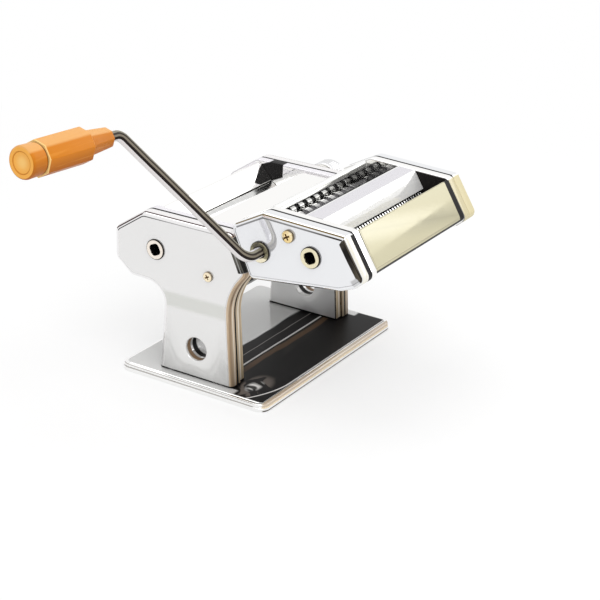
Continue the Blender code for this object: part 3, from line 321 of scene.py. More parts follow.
def surface(name, rough, scale=38.0, waves=None, metallic=1.0, **uniform):
    """A coating whose roughness wanders over a range, as wiping leaves it.

    waves are the scale and the height of the faint waves in it. It also gives the point in the
    object and the cloud that the roughness follows.
    """
    made, shade, feed = coating(name, Metallic=metallic, **uniform)
    point = shade.node("ShaderNodeTexCoord", output="Object")
    cloud = shade.node("ShaderNodeTexNoise", None,
                       {"Vector": point, "Scale": scale, "Detail": 3.0, "Roughness": 0.6})
    low, high = rough
    feed("Roughness", low + (high - low) * cloud.rise(0.35, 0.75))
    if waves:
        dimpled(shade, feed, point, *waves)
    return made, shade, feed, point, cloud


def parts_of(shade, point):
    """The three coordinates of a point in millimetres."""
    large = shade.node("ShaderNodeVectorMath", {"operation": "SCALE"}, {0: point, "Scale": 1 / MM})
    return [shade.node("ShaderNodeSeparateXYZ", None, {"Vector": large}, axis) for axis in "XYZ"]


def drawn_out(shade, point, stretch, scale, detail=2.5, swirls=0.3):
    """Noise stretched along the axes where the stretch is small."""
    mapped = shade.node("ShaderNodeMapping", None, {"Vector": point, "Scale": stretch})
    return shade.node("ShaderNodeTexNoise", None, {
        "Vector": mapped, "Scale": scale, "Detail": detail, "Roughness": 0.6, "Distortion": swirls})


def painted(colour, *layers):
    """A colour with others laid over it, each through its mask."""
    for mask, other in layers:
        colour = mask.blend(colour, other)
    return colour


def filmed(shade, *layers):
    """Lay a dull film on the metal: each layer is a mask and the film's colour under it.

    The bare share of the metal is the product of (1 - mask) over all the layers.
    """
    colour, bare = layers[0][1], None
    for mask, other in layers:
        colour = mask.blend(colour, other)
        bare = (1.0 - mask) if bare is None else bare * (1.0 - mask)
    dull = shade.node("ShaderNodeBsdfPrincipled", None, {
        "Base Color": colour, "Roughness": 0.45, "Specular IOR Level": 0.12})
    nodes = shade.tree.nodes
    metal = Shade(shade.tree, nodes["Principled BSDF"].outputs[0])
    mixed = shade.node("ShaderNodeMixShader", None, {0: bare, 1: dull, 2: metal})
    shade.tree.links.new(mixed.socket, nodes["Material Output"].inputs["Surface"])


BASE_HALF = 112.0
BASE_FRONT = -79.0
BASE_BACK = 74.5
BASE_CORNER = 10.0
base_corners = np.array([
    (-BASE_HALF, BASE_FRONT, BASE_CORNER), (BASE_HALF, BASE_FRONT, BASE_CORNER),
    (BASE_HALF, BASE_BACK, BASE_CORNER), (-BASE_HALF, BASE_BACK, BASE_CORNER)]) * MM
rim_section = np.array([
    (14.0, 7.7, 0.0), (4.4, 7.7, 0.8), (3.6, 7.25, 0.3), (0.65, 7.25, 1.5), (0.65, 4.5, 0.6),
    (1.5, 3.95, 0.35), (0.05, 3.4, 0.9), (0.0, 0.1, 0.8), (3.5, 0.1, 0.1), (3.5, 2.3, 0.1),
    (8.0, 2.3, 0.1), (8.0, 6.2, 0.1), (14.0, 6.2, 0.0)]) * MM


def base_rings(section):
    """The base's rounded outline, once for each (inset, height) of a section."""
    rings = []
    for inset, height in section:
        points, _ = rounded(base_corners, inset)
        rings.append(np.column_stack([points, np.full(len(points), height)]))
    return np.stack(rings)


chrome_base, shade, feed, point, cloud = surface(
    "chromed_base", (0.03, 0.10), waves=(30.0, 0.03), Base_Color=rgb(243, 243, 242))
x, y, z = parts_of(shade, point)
wander = drawn_out(shade, point, (1.0, 3.0, 1.0), 9.0, 2.0, 0.8)
curl = shade.node("ShaderNodeTexNoise", None, {
    "Vector": point, "Scale": 46.0, "Detail": 1.5, "Roughness": 0.5, "Distortion": 1.6})
inside_rim = y.rise(BASE_FRONT + 4.2, BASE_FRONT + 5.2) * z.rise(7.5, 7.6)
bent = y + (wander - 0.5) * 10.0
beside_leg = abs(x).rise(98.0, 100.0) * y.rise(-46.0, -43.0)
dark = inside_rim * bent.fall(2.0, 5.0) * (1.0 - beside_leg) * abs(x).fall(106.5, 107.5)
lines = y + (wander - 0.5) * 2.4
swirl = (x + 84.0) * (x + 84.0) * 0.35 + (bent + 52.0) * (bent + 52.0)
turn_in = shade.math("MAXIMUM", -60.0 - x, 0.0) * (1.0 / 49.0)
bead = y - turn_in * turn_in * 16.0
# The dark area between the legs, with its swirls, streaks and white spot, is a painted reflection of
# the machine's dark underside.
painted_reflection = painted(
    (17, 15, 15),
    (wander.rise(0.55, 0.75) * 0.5, (54, 50, 48)),
    (bent.band(-27.0, -23.5, 2.0) * x.rise(-84.0, -40.0) * 0.7, (104, 80, 58)),
    (swirl.fall(90.0, 260.0) * curl.rise(0.50, 0.58) * 0.85, (110, 102, 96)),
    (swirl.fall(10.0, 60.0) * curl.rise(0.36, 0.50), (240, 238, 236)),
    (lines.band(-20.2, -19.0, 0.6), (214, 212, 210)),
    (lines.band(-8.6, -8.0, 0.5) * 0.7, (150, 146, 142)),
    (bead.band(-73.4, -72.4, 0.5), (226, 224, 222)))
# On the front and near rims the tan, pale and grey bands are painted reflections, and the dark band at
# the bottom of the front rim is a painted contact shadow.
front_rim = y.fall(-75.0, -74.4) * abs(x).fall(108.0, 110.0)
near_rim = x.fall(-108.4, -107.8) * y.rise(-70.0, -66.0)
tan = wander.rise(0.35, 0.65).blend((186, 158, 124), (214, 190, 152))
filmed(shade,
       ((1.0 - dark) * inside_rim * 0.8, (206, 206, 205)),
       (front_rim * z.band(3.9, 7.4, 0.3) * 0.8, tan),
       (front_rim * z.band(0.2, 1.4, 0.4), (58, 46, 32)),
       (front_rim * z.band(3.4, 4.3, 0.3), (236, 222, 196)),
       (near_rim * z.band(6.4, 6.9, 0.2) * 0.7, (120, 104, 92)),
       (near_rim * z.band(3.6, 4.1, 0.3) * 0.8, (150, 144, 138)),
       (dark, painted_reflection))
section, _ = rounded(rim_section * [-1, 1, 1], steps=5, closed=False)
piece("base_tray", capped(base_rings(section * [-1, 1])),
      chrome_base, "machine_body", ["base_plate"])


# The mat is a sheet of black rubber, cut to the tray's outline. It is glued in the tray's
# underside and keeps the machine from slipping.
MAT_EDGE = 3.8
MAT_TOP = 2.0
MAT_ROUND = 0.4
mat_section = np.array([(MAT_EDGE + MAT_ROUND, 0.0), (MAT_EDGE, MAT_ROUND), (MAT_EDGE, MAT_TOP)]) * MM
rubber, shade, feed, point, cloud = surface(
    "black_rubber", (0.62, 0.85), waves=(900.0, 0.06), metallic=0.0)
feed("Base Color", cloud.rise(0.3, 0.7).blend((34, 34, 35), (52, 51, 50)))
piece("base_mat_sheet", capped(base_rings(mat_section)),
      rubber, "machine_body", ["base_mat"])


# The machine's sides are pressed from chromed sheet: an outer shell with a rounded edge and a
# shallower inner shell that closes it. The legs stand on the base, and a hole for the table clamp
# runs through each, with a collar turned in from both shells.
FLOOR = 8.0 * MM
FACE = 100.0 * MM
SEAM = 87.0 * MM
THROAT_HALF = 78.0 * MM
SHEET = 1.2 * MM
EDGE_ROUND = 4.0 * MM
INNER_EDGE = 1.0 * MM
SEAM_GAP = 0.4 * MM
FRONT_LEAN = math.radians(65.0)
FRONT_FOOT = np.array([-51.0, 108.0]) * MM
ROUND = 64


def front_y(height, gap=0.0):
    """Where the leaning front lies at a height above the leg's foot, less a gap square to it."""
    rise = height - FRONT_FOOT[1]
    return FRONT_FOOT[0] + rise / math.tan(FRONT_LEAN) - gap / math.sin(FRONT_LEAN)


def at_x(x, points):
    """Lay (y, z) points in the plane at x."""
    return np.column_stack([np.full(len(points), x), points])


def circle(y, z, radius, steps=ROUND):
    """Points round a circle: centre plus radius times (cos, sin) of the angle."""
    angle = np.linspace(0, 2 * math.pi, steps, endpoint=False)
    return np.column_stack([y + radius * np.cos(angle), z + radius * np.sin(angle)])


def long_hole(y_low, y_high, z, radius, steps=16):
    """Points round a hole with half round ends, from y_low to y_high at height z."""
    angle = np.linspace(-math.pi / 2, math.pi / 2, steps)
    right = np.column_stack([y_high + radius * np.cos(angle), z + radius * np.sin(angle)])
    left = np.column_stack([y_low - radius * np.cos(angle), z - radius * np.sin(angle)])
    return np.concatenate([right, left])


def quarter(radius, steps=10):
    """Depth and inset along a quarter circle that rounds a face into a wall."""
    angle = np.linspace(0, math.pi / 2, steps + 1)
    return radius * (1 - np.cos(angle)), radius * (1 - np.sin(angle))


def anticlockwise(corners):
    """The same corners, ordered so that the inside lies to the left of the way round."""
    y, z = corners[:, 0], corners[:, 1]
    area = (y * np.roll(z, -1) - np.roll(y, -1) * z).sum()
    return corners if area > 0 else corners[::-1].copy()


BODY_TOP = 142.0 * MM
body_corners = np.array([
    (-40.0, -16.0, 5.0), (40.0, -16.0, 5.0), (34.3, 77.8, 17.0), (70.5, 79.1, 8.0), (87.5, 92.9, 8.0),
    (87.5, 121.0, 8.0), (57.6, 141.5, 12.0), (front_y(BODY_TOP) / MM, 142.0, 6.0),
    (-51.0, 108.0, 6.0), (-32.9, 83.8, 50.0)]) * MM
body_corners[:, 1] += FLOOR
body_corners = anticlockwise(body_corners)
CLAMP = (0.0, FLOOR + 26.8 * MM, 10.8 * MM)
CLAMP_LIP = 1.4 * MM
REAR_ROLLER = (42.9 * MM, FLOOR + 110.2 * MM)
FRONT_ROLLER = (15.5 * MM, FLOOR + 110.2 * MM)
KNOB = (0.0, FLOOR + 125.0 * MM)
RING_SLEEVE = 8.1 * MM
DRIVE_JOURNAL = 6.5 * MM
ROLLER_JOURNAL = 5.0 * MM
CAM_SHAFT = 4.0 * MM
CLEAR = 0.3 * MM
OFF_WALL = -10.0


def shell_patches(corners, side, section, holes=(), collars=()):
    """A shell swept round its outline, with its flat face pierced by holes.

    A point of the wall is the outline moved inwards by the section's inset, at the section's x.
    The face closes the first ring and, one sheet below it, the last. A collar is a tube round a
    circle (y, z, radius) that bends in from the face and runs to a depth. across is the distance
    over the wall from the edge of the face, upward and forward say which way the wall looks, and
    everything that isn't wall has an across of OFF_WALL.
    """
    grid = np.stack([at_x(side * x, rounded(corners, inset, steps=12)[0]) for x, inset in section])
    normals = rounded(corners, steps=12)[1]
    run = np.concatenate([[0], np.cumsum(np.linalg.norm(np.diff(section, axis=0), axis=1))])
    run -= run[max(i for i, (x, inset) in enumerate(section) if x == section[0][0])]
    patches = [skin(grid, across=run[:, None] / MM, upward=normals[None, :, 1],
                    forward=-normals[None, :, 0])]
    lips = [circle(y, z, radius + CLAMP_LIP) for y, z, radius, depth in collars]
    for ring in (grid[0], grid[-1]):
        loops = [ring] + [at_x(ring[0, 0], hole) for hole in [*holes, *lips]]
        patches.append(plate(loops, across=OFF_WALL))
    for hole in holes:
        ends = [at_x(grid[0, 0, 0], hole), at_x(grid[-1, 0, 0], hole)]
        patches.append(skin(np.stack(ends), across=OFF_WALL))
    face, under = section[0][0], section[-1][0]
    inward = math.copysign(1.0, under - face)
    for y, z, radius, depth in collars:
        sink, spread = quarter(CLAMP_LIP, 6)
        rows = [(face + inward * d, radius + s) for d, s in zip(sink, spread)]
        rows += [(face + inward * depth, radius), (face + inward * depth, radius + SHEET * 0.7),
                 (under, radius + SHEET * 0.7), (under, radius + CLAMP_LIP)]
        tube = np.stack([at_x(side * x, circle(y, z, r)) for x, r in rows])
        patches.append(skin(tube, bore=1.0, across=OFF_WALL))
    return patches


def trimmed(made):
    """Saw the foot of a shell off level with the base and close the cut."""
    bm = bmesh.new()
    bm.from_mesh(made.data)
    everything = bm.verts[:] + bm.edges[:] + bm.faces[:]
    found = bmesh.ops.bisect_plane(bm, geom=everything, dist=1e-7, plane_co=(0, 0, FLOOR),
                                   plane_no=(0, 0, 1), clear_inner=True)
    rim = [item for item in found["geom_cut"] if isinstance(item, bmesh.types.BMEdge)]
    bmesh.ops.holes_fill(bm, edges=rim, sides=0)
    bmesh.ops.recalc_face_normals(bm, faces=bm.faces)
    bm.to_mesh(made.data)
    bm.free()


def outer_section():
    """From the flat face over the rounded edge to the seam, and back along the inside."""
    sink, inset = quarter(EDGE_ROUND)
    lip_sink, lip_inset = quarter(SEAM_GAP, 4)
    outside = [(FACE, EDGE_ROUND + d * MM) for d in (4.6, 3.0, 1.5)] + list(zip(FACE - sink, inset))
    lip = [(SEAM + d, i) for d, i in zip(lip_sink[::-1], lip_inset[::-1])]
    back_sink, back_inset = quarter(EDGE_ROUND - SHEET, 5)
    inside = [(SEAM, SHEET)] + [(FACE - SHEET - d, SHEET + i)
                                for d, i in zip(back_sink[::-1], back_inset[::-1])]
    return outside + lip + inside + [(FACE - SHEET, EDGE_ROUND + 4.6 * MM)]


def inner_section():
    """From the flat inner face over its tight bend to the seam, and back along the inside."""
    sink, inset = quarter(INNER_EDGE, 5)
    lip_sink, lip_inset = quarter(SEAM_GAP, 4)
    low, high = THROAT_HALF, SEAM - 0.3 * MM
    outside = [(low, INNER_EDGE + 0.6 * MM)] + list(zip(low + sink, inset))
    lip = [(high - d, i) for d, i in zip(lip_sink[::-1], lip_inset[::-1])]
    return outside + lip + [(high, SHEET), (low + SHEET, SHEET), (low + SHEET, INNER_EDGE + 0.6 * MM)]


def read(shade, *words):
    """The values that the mesh carries under these names, lengths in millimetres."""
    return [shade.node("ShaderNodeAttribute", {"attribute_name": word}, output="Fac")
            for word in words]


def side_masks(upward, forward):
    """Masks of a side's top, of its leaning upper front, and of the front below that."""
    lean = forward.rise(0.8, 0.9) * upward.rise(0.2, 0.35)
    top = upward.rise(0.15, 0.5) * forward.fall(0.75, 0.9)
    return top, lean, forward.rise(0.35, 0.75) * (1.0 - lean)

CHROME_EDGE = rgb(250, 249, 247)
# These film colours are painted reflections and painted shade on the chrome: black and grey lines
# along edges and seams, beige and cream reflections on fronts and noses, brown shade in bores.
LINE_BLACK = (20, 18, 18)
LINE_GREY = (96, 96, 98)
BEIGE = (206, 186, 160)
BROWN = (140, 116, 92)
FAR_NOSE = (214, 202, 158)
SOLE = FLOOR / MM

body_chrome, shade, feed, point, cloud = surface(
    "chromed_body", (0.03, 0.09), waves=(16.0, 0.03), Base_Color=rgb(240, 239, 239))
x, y, z = parts_of(shade, point)
across, upward, forward, bore = read(shade, "across", "upward", "forward", "bore")
top, lean, front = side_masks(upward, forward)
steep = (-forward).rise(0.2, 0.4) * upward.rise(0.3, 0.5)
under = (-upward).rise(0.4, 0.8)
wavy = drawn_out(shade, point, (30.0, 1.0, 1.0), 14.0)
fine = drawn_out(shade, point, (90.0, 1.2, 1.2), 16.0, 4.0)
bend = z.band(90.0, 108.0, 8.0)
flat = across.fall(-0.4, 0.2)
neck = (z + y * 0.02).band(72.0, 80.5, 5.0)
to_back = y.rise(10.0, 60.0)
drawn = across + steep * 2.4
seam = across + front * (3.4 + (wavy - 0.5) * 1.4)
# The film paints reflections and shade on the chrome: the faces greyer towards the foot, a grey band
# across the neck that is a painted reflection, beige fronts with painted highlights and dark streaks,
# a pale band on the top as a painted highlight, black and grey lines along the fillets and the leaning
# front as painted reflections, and the black line at the seam, the dark line at the foot and the dark
# bands in the clamp hole as painted shade.
filmed(shade,
       (flat * 0.55, (232, 232, 231)),
       (flat * z.fall(10.0, 90.0) * 0.3, (216, 217, 213)),
       (flat * neck * 0.62, (206, 208, 200)),
       (front * across.rise(0.4, 1.2), fine.rise(0.40, 0.62).blend(BEIGE, (176, 150, 120))),
       (front * across.band(3.4, 4.2, 0.8) * 0.7, (140, 118, 98)),
       (front * seam.band(10.6, 11.6, 0.5) * 0.75, (240, 230, 216)),
       (front * seam.band(8.2, 8.8, 0.4) * 0.5, (120, 100, 84)),
       (front * across.band(0.0, 0.4, 0.4) * 0.5, LINE_GREY),
       (front * seam.rise(15.6, 16.2), (196, 178, 152)),
       (front * bend * fine.rise(0.50, 0.58) * across.rise(1.0, 2.0) * 0.85, (58, 50, 44)),
       (lean * across.rise(-3.6, -3.2), fine.rise(0.44, 0.58).blend(LINE_BLACK, (92, 90, 84))),
       (lean * across.band(-0.6, 0.0, 0.3) * 0.8, (176, 176, 174)),
       (lean * across.band(6.0, 6.8, 0.5) * 0.6, (150, 148, 142)),
       (top * across.band(0.0, 0.6, 0.3) * (0.7 + 0.3 * to_back),
        to_back.blend(LINE_GREY, (44, 42, 44))),
       (top * drawn.band(4.3, 5.7, 0.3), (66, 44, 44)),
       (top * drawn.band(6.0, 12.6, 0.8) * 0.45, (244, 236, 236)),
       (under * across.band(0.0, 0.5, 0.3) * 0.3, LINE_GREY),
       (top * drawn.band(13.6, 15.7, 0.25) * 0.98, LINE_BLACK),
       (front * seam.band(13.6, 15.7, 0.25), LINE_BLACK),
       (z.fall(SOLE + 1.1, SOLE + 1.4) * (1.0 - bore), LINE_BLACK),
       (bore * abs(x).band(93.0, 97.0, 1.0), BROWN),
       (bore * abs(x).band(86.0, 89.5, 0.4), LINE_BLACK))

inner_chrome, shade, feed, point, cloud = surface(
    "chromed_body_inside", (0.04, 0.11), waves=(16.0, 0.03), Base_Color=CHROME_EDGE)
x, y, z = parts_of(shade, point)
across, upward, forward, bore = read(shade, "across", "upward", "forward", "bore")
top, lean, front = side_masks(upward, forward)
wavy = drawn_out(shade, point, (30.0, 1.0, 1.0), 14.0)
# A black wedge on the far inner face above the rear slope is a painted reflection.
painted_hopper_reflection = y.band(28.0, 52.0, 0.5) * x.rise(77.0, 77.5) * (z + y * 0.5).rise(150.0, 152.0)
painted_hopper_reflection = painted_hopper_reflection * (z + (y - 41.0) * 0.4).fall(150.0, 150.8)
# The film paints a lilac-grey reflection on the tops, beige reflections with a painted highlight and
# dark lines on the fronts, painted shade on the leaning front, grey and black lines along the edges
# and the seam, and painted shadows at the foot and in the clamp hole.
filmed(shade,
       (across.fall(-0.4, 0.0) * z.fall(84.0, 92.0) * 0.85, (246, 246, 246)),
       (top * 0.75, (224, 220, 228)),
       (front * across.rise(1.0, 1.6), wavy.rise(0.42, 0.62).blend((214, 194, 160), BEIGE)),
       (front * across.band(5.4, 6.8, 0.4) * 0.8, (244, 238, 228)),
       (front * across.band(3.4, 3.9, 0.3) * 0.6, (126, 106, 84)),
       (front * across.band(0.0, 0.7, 0.3), (70, 58, 46)),
       (lean * across.rise(0.4, 1.2), (40, 38, 34)),
       (top * across.band(0.0, 0.4, 0.3) * 0.45, LINE_GREY),
       (top * across.band(8.7, 10.0, 0.2), LINE_BLACK),
       (painted_hopper_reflection, LINE_BLACK),
       (z.fall(SOLE + 1.3, SOLE + 1.7), LINE_BLACK),
       (bore * abs(x).rise(83.0, 84.5), LINE_BLACK))

inner_corners = body_corners.copy()
leg_front = (body_corners[:, 0] < -30.0 * MM) & (body_corners[:, 1] < 95.0 * MM)
inner_corners[leg_front, 0] += 2.0 * MM
travel = long_hole(FRONT_ROLLER[0] - 2.0 * MM, FRONT_ROLLER[0], FRONT_ROLLER[1],
                   ROLLER_JOURNAL + 2 * CLEAR)
shaft_hole = circle(*KNOB, CAM_SHAFT + CLEAR, 32)
ring_hole = circle(*REAR_ROLLER, RING_SLEEVE + CLEAR)
small_bush_hole = circle(*REAR_ROLLER, ROLLER_JOURNAL + 1.9 * MM)
for side, word, outer_hole, bush_hole in ((-1, "left", ring_hole, ring_hole),
                                          (1, "right", shaft_hole, small_bush_hole)):
    for layer, corners, section, holes, depth, finish in (
            ("outer", body_corners, outer_section(), [outer_hole], FACE - SEAM, body_chrome),
            ("inner", inner_corners, inner_section(), [bush_hole, travel, shaft_hole],
             SEAM - THROAT_HALF - CLEAR, inner_chrome)):
        patches = shell_patches(corners, side, section, holes, [(*CLAMP, depth)])
        trimmed(piece(f"body_{layer}_{word}", patches, finish, "machine_body",
                      [f"body_{layer}_shell_{word}"]))


# Two bent strips of chromed sheet lie between the sides. They make the hopper's slopes, close the
# back and the front, and end in small flanges below.
COVER_HALF = 77.7 * MM
COVER_SHEET = 1.0 * MM


def folded(path):
    """A strip of sheet bent along (y, z, bend) corners and carried along X.

    The path's rounded line is moved half the thickness to either side, and half circles join the
    two lines at its ends. facing is 1 on the side to the right of the way along and -1 on the
    other.
    """
    points, normals = rounded(path, steps=6, closed=False)
    half_sheet = COVER_SHEET / 2
    way = np.stack([-normals[:, 1], normals[:, 0]], axis=1)
    swing = np.linspace(0, math.pi, 7)[1:-1, None]
    far_end = points[-1] + half_sheet * (np.cos(swing) * normals[-1] + np.sin(swing) * way[-1])
    near_end = points[0] - half_sheet * (np.cos(swing) * normals[0] + np.sin(swing) * way[0])
    ring = np.concatenate([points + half_sheet * normals, far_end,
                           (points - half_sheet * normals)[::-1], near_end])
    side, edge = np.ones(len(points)), np.zeros(len(swing))
    facing = np.concatenate([side, edge, -side, edge])
    return capped(np.stack([at_x(x, ring) for x in (-COVER_HALF, COVER_HALF)]),
                  facing=facing[None, :])


cover_chrome, shade, feed, point, cloud = surface(
    "chromed_cover", (0.04, 0.12), waves=(22.0, 0.03), Base_Color=CHROME_EDGE)
x, y, z = parts_of(shade, point)
facing, = read(shade, "facing")
# The black patch streaked with grey on the front sheet, where the cutter head hangs before it, is
# painted shade and painted reflection.
recess = y.band(-52.0, -36.0, 1.0) * z.band(112.0, 147.0, 1.0)
slope = facing.rise(0.2, 0.8) * y.band(42.0, 54.0, 1.0)
wavy = drawn_out(shade, point, (0.4, 40.0, 12.0), 9.0)
filmed(shade,
       (slope * (0.7 + 0.28 * x.rise(30.0, 60.0)), (250, 248, 250)),
       (y.rise(82.6, 84.0) * z.rise(118.0, 122.0) * 0.8, (196, 194, 200)),
       (recess, wavy.rise(0.5, 0.58).blend((20, 19, 20), (190, 190, 196))))

rear_path = np.array([
    (40.4, 132.7, 0.0), (53.73, 147.5, 2.0), (85.3, 127.2, 6.0), (85.3, 102.3, 5.0),
    (69.7, 90.6, 3.0), (62.4, 90.6, 0.0)]) * MM
front_path = np.array([
    (18.0, 132.7, 0.0), (4.67, 147.5, 2.0), (front_y(139.5 * MM, -1.0 * MM) / MM, 147.5, 2.5),
    (front_y(109.0 * MM, -1.0 * MM) / MM, 117.0, 3.0), (-31.3, 93.0, 4.0), (-14.9, 93.0, 0.0)]) * MM
for word, path in (("rear", rear_path), ("front", front_path)):
    piece(f"{word}_cover_sheet", folded(path), cover_chrome, "machine_body",
          [f"{word}_cover"])


# Under the rollers two plain steel scrapers lie on the covers' flanges, and their thin edges keep
# the sheet from sticking. A tie rod across the throat holds the sides at their distance.
plain_steel, shade, feed, point, cloud = surface(
    "plain_steel", (0.22, 0.38), 90.0, waves=(400.0, 0.01))
grain = drawn_out(shade, point, (2.0, 60.0, 60.0), 30.0, 4.0)
feed("Base Color", grain.rise(0.3, 0.7).blend((176, 176, 175), (212, 212, 210)))


def turned(profile, axis, closed=False, steps=ROUND, bends=3, ripple=None, **marks):
    """A patch turned round an axis along X.

    Each (x, radius) of the rounded profile, in millimetres, goes round the axis's (y, z). ripple,
    if given, is a function of x, radius and angle whose value is added. rho is the distance to
    the axis.
    """
    line = rounded(np.asarray(profile) * MM, steps=bends, closed=closed)[0]
    angle = np.linspace(0, 2 * math.pi, steps, endpoint=False)[None, :]
    x, radius = line[:, :1], line[:, 1:]
    radius = radius + (0.0 if ripple is None else ripple(x, radius, angle) * (radius > 1 * MM))
    grid = np.stack([x + 0 * angle, axis[0] + radius * np.cos(angle),
                     axis[1] + radius * np.sin(angle)], axis=-1)
    return skin(grid, closed, rho=radius / MM + 0 * angle, **marks)


rear_scraper_path = np.array([(39.8, 104.0, 0.0), (52.4, 91.9, 2.0), (67.0, 91.9, 0.0)]) * MM
front_scraper_path = np.array([(18.6, 104.0, 0.0), (6.0, 94.3, 2.0), (-28.9, 94.3, 0.0)]) * MM
for word, path in (("rear", rear_scraper_path), ("front", front_scraper_path)):
    piece(f"{word}_scraper_blade", folded(path), plain_steel, "machine_body",
          [f"{word}_scraper"])
BODY_TIE = (-12.5 * MM, FLOOR + 98.5 * MM)
HEAD_TIE = (-91.2 * MM, FLOOR + 153.7 * MM)


def tie_bar(name, axis, radius, body, node):
    """A round bar between the sides, with a small bevel at each end."""
    half = COVER_HALF / MM
    profile = [(-half, 0, 0), (-half, radius, 0.5), (half, radius, 0.5), (half, 0, 0)]
    piece(name, [turned(profile, axis)], plain_steel, body, [node])


tie_bar("body_tie_bar", BODY_TIE, 4.0, "machine_body", "body_tie_rod")


# Two smooth rollers of ground steel draw the sheet through. The crank's dog fits the slotted end
# of the rear one, which turns in the casing's ring, and gears inside the casing drive the front.
ground_steel, shade, feed, point, cloud = surface("ground_steel", (0.12, 0.24), 60.0)
bore, groove = read(shade, "bore", "groove")
rings_of_grinding = drawn_out(shade, point, (60.0, 1.0, 1.0), 40.0, 4.0)
feed("Base Color", rings_of_grinding.rise(0.3, 0.7).blend((205, 205, 204), (232, 232, 230)))
dimpled(shade, feed, rings_of_grinding, 6.0, 0.004)
# The grooves between the cutters' discs and the bores of the driven ends are painted black as shade.
filmed(shade, (groove * 0.96, (20, 19, 20)), (bore, (12, 9, 9)))

SOCKET_MOUTH = 99.7
SOCKET_DEPTH = 15.5
SOCKET_BORE = 4.8
ROLL_END = 77.4
DOG_DEPTH = 3.2
DOG_OUTSIDE = DRIVE_JOURNAL / MM
ROLL_RADIUS = 13.5
ROLL_AXLE = ROLLER_JOURNAL / MM
NEAR_AXLE_END = -94.5
FAR_AXLE_END = 85.5


def socket_end(axis):
    """The driven end of a shaft: a bore with slots across its mouth that take the crank's dog.

    Between the slots stand parts of a ring: a rectangle of x and radius carried round from one
    angle to the next slot.
    """
    patches = []
    slots = np.radians([18.0, 108.0, 198.0, 288.0])
    widths = np.radians([44.0, 24.0, 44.0, 24.0])
    x = np.array([0.0, 0.0, DOG_DEPTH, DOG_DEPTH]) - SOCKET_MOUTH
    radius = np.array([SOCKET_BORE, DOG_OUTSIDE, DOG_OUTSIDE, SOCKET_BORE]) * MM
    for i in range(4):
        start = slots[i] + widths[i] / 2
        stop = slots[(i + 1) % 4] - widths[(i + 1) % 4] / 2 + (2 * math.pi if i == 3 else 0)
        angle = np.linspace(start, stop, 12)[:, None]
        grid = np.stack([x[None, :] * MM + 0 * angle, axis[0] + radius * np.cos(angle),
                         axis[1] + radius * np.sin(angle)], axis=-1)
        patches += [skin(grid, bore=1.0), plate([grid[0]], bore=1.0), plate([grid[-1]], bore=1.0)]
    return patches


def driven_end(axis, root):
    """The journal of a driven shaft from its slotted mouth in to its roll, with its black bore."""
    floor = -SOCKET_MOUTH + SOCKET_DEPTH
    mouth = -SOCKET_MOUTH + DOG_DEPTH
    hole = [(floor, 0, 0), (floor, SOCKET_BORE, 0.2), (mouth, SOCKET_BORE, 0)]
    outside = [(mouth, SOCKET_BORE, 0), (mouth, DOG_OUTSIDE, 0), (-ROLL_END, DOG_OUTSIDE, 0),
               (-ROLL_END, root, 0)]
    return [turned(hole, axis, bore=1.0), turned(outside, axis)] + socket_end(axis)


barrel = [(-ROLL_END, ROLL_RADIUS, 0.6), (ROLL_END, ROLL_RADIUS, 0.6), (ROLL_END, ROLL_AXLE, 0.2),
          (FAR_AXLE_END, ROLL_AXLE, 0.5), (FAR_AXLE_END, 0, 0)]
rear_roll = [(-ROLL_END, DOG_OUTSIDE, 0)] + barrel
front_roll = [(NEAR_AXLE_END, 0, 0), (NEAR_AXLE_END, ROLL_AXLE, 0.5),
              (-ROLL_END, ROLL_AXLE, 0.2)] + barrel
piece("rear_smooth_roller",
      [turned(rear_roll, REAR_ROLLER, steps=96)] + driven_end(REAR_ROLLER, DOG_OUTSIDE),
      ground_steel, "rear_roller", ["rear_roller"])
piece("front_smooth_roller", [turned(front_roll, FRONT_ROLLER, steps=96)],
      ground_steel, "front_roller", ["front_roller"])


# A turned ring round each crank socket is pressed into the casing. The one on the body lies nearly
# flush, and those on the cutter head stand proud of its face.
WIDE_REAR = (-64.303 * MM, 141.6 * MM)
WIDE_FRONT = (-82.132 * MM, 144.07 * MM)
NARROW_REAR = (-113.103 * MM, 148.3 * MM)
NARROW_FRONT = (-130.932 * MM, 150.77 * MM)


def ring_finish(name, face, shine, dark_from, dark_to=9.6, shadow=None):
    """A nickel ring: a warm turned face between a rim and the edge of its bore darkened with painted
    shade.

    Above the height shadow, if given, a streaked painted shadow of the crank's arm lies over the ring.
    """
    made, shade, feed, point, cloud = surface(name, (0.10, 0.22), 120.0, waves=(500.0, 0.005))
    x, y, z = parts_of(shade, point)
    rho, = read(shade, "rho")
    turning = shade.node("ShaderNodeMath", {"operation": "SINE"}, {0: rho * 9.0}).rise(-1.0, 1.0)
    feed("Base Color", turning.blend(face, shine))
    layers = [(turning * 0.35, face)]
    if shadow:
        painted_arm_shadow = cloud.rise(0.42, 0.62).blend((34, 30, 24), (140, 134, 104))
        layers.append((z.rise(shadow - 5.0, shadow - 3.5) * 0.95, painted_arm_shadow))
    # The dark rim and the black edge of the bore are painted shade.
    rim = rho.rise(dark_from, dark_from + 0.3) * rho.fall(dark_to, dark_to + 0.2)
    bore = x.rise(-101.2, -100.9) * rho.fall(7.6, 8.0) * x.fall(-1.0, 0.0)
    filmed(shade, *layers, (rim, (30, 24, 20)), (bore, (14, 11, 11)))
    return made


def ring_profile(height):
    """The sleeve in the casing, the flange on its face, and the lip over the journal's end."""
    low, inner_end, sleeve = -100.3, -98.2, RING_SLEEVE / MM
    rim, crown, opening, bore = 9.3, 8.5, 5.5, 6.8
    return [(low, sleeve, 0.1), (low, rim, 0.2), (low - height * 0.5, rim, 0.4),
            (low - height, crown, 0.4), (low - height, opening, 0.3), (low + 0.1, opening, 0.1),
            (low + 0.1, bore, 0.1), (inner_end, bore, 0.1), (inner_end, sleeve, 0.1)]


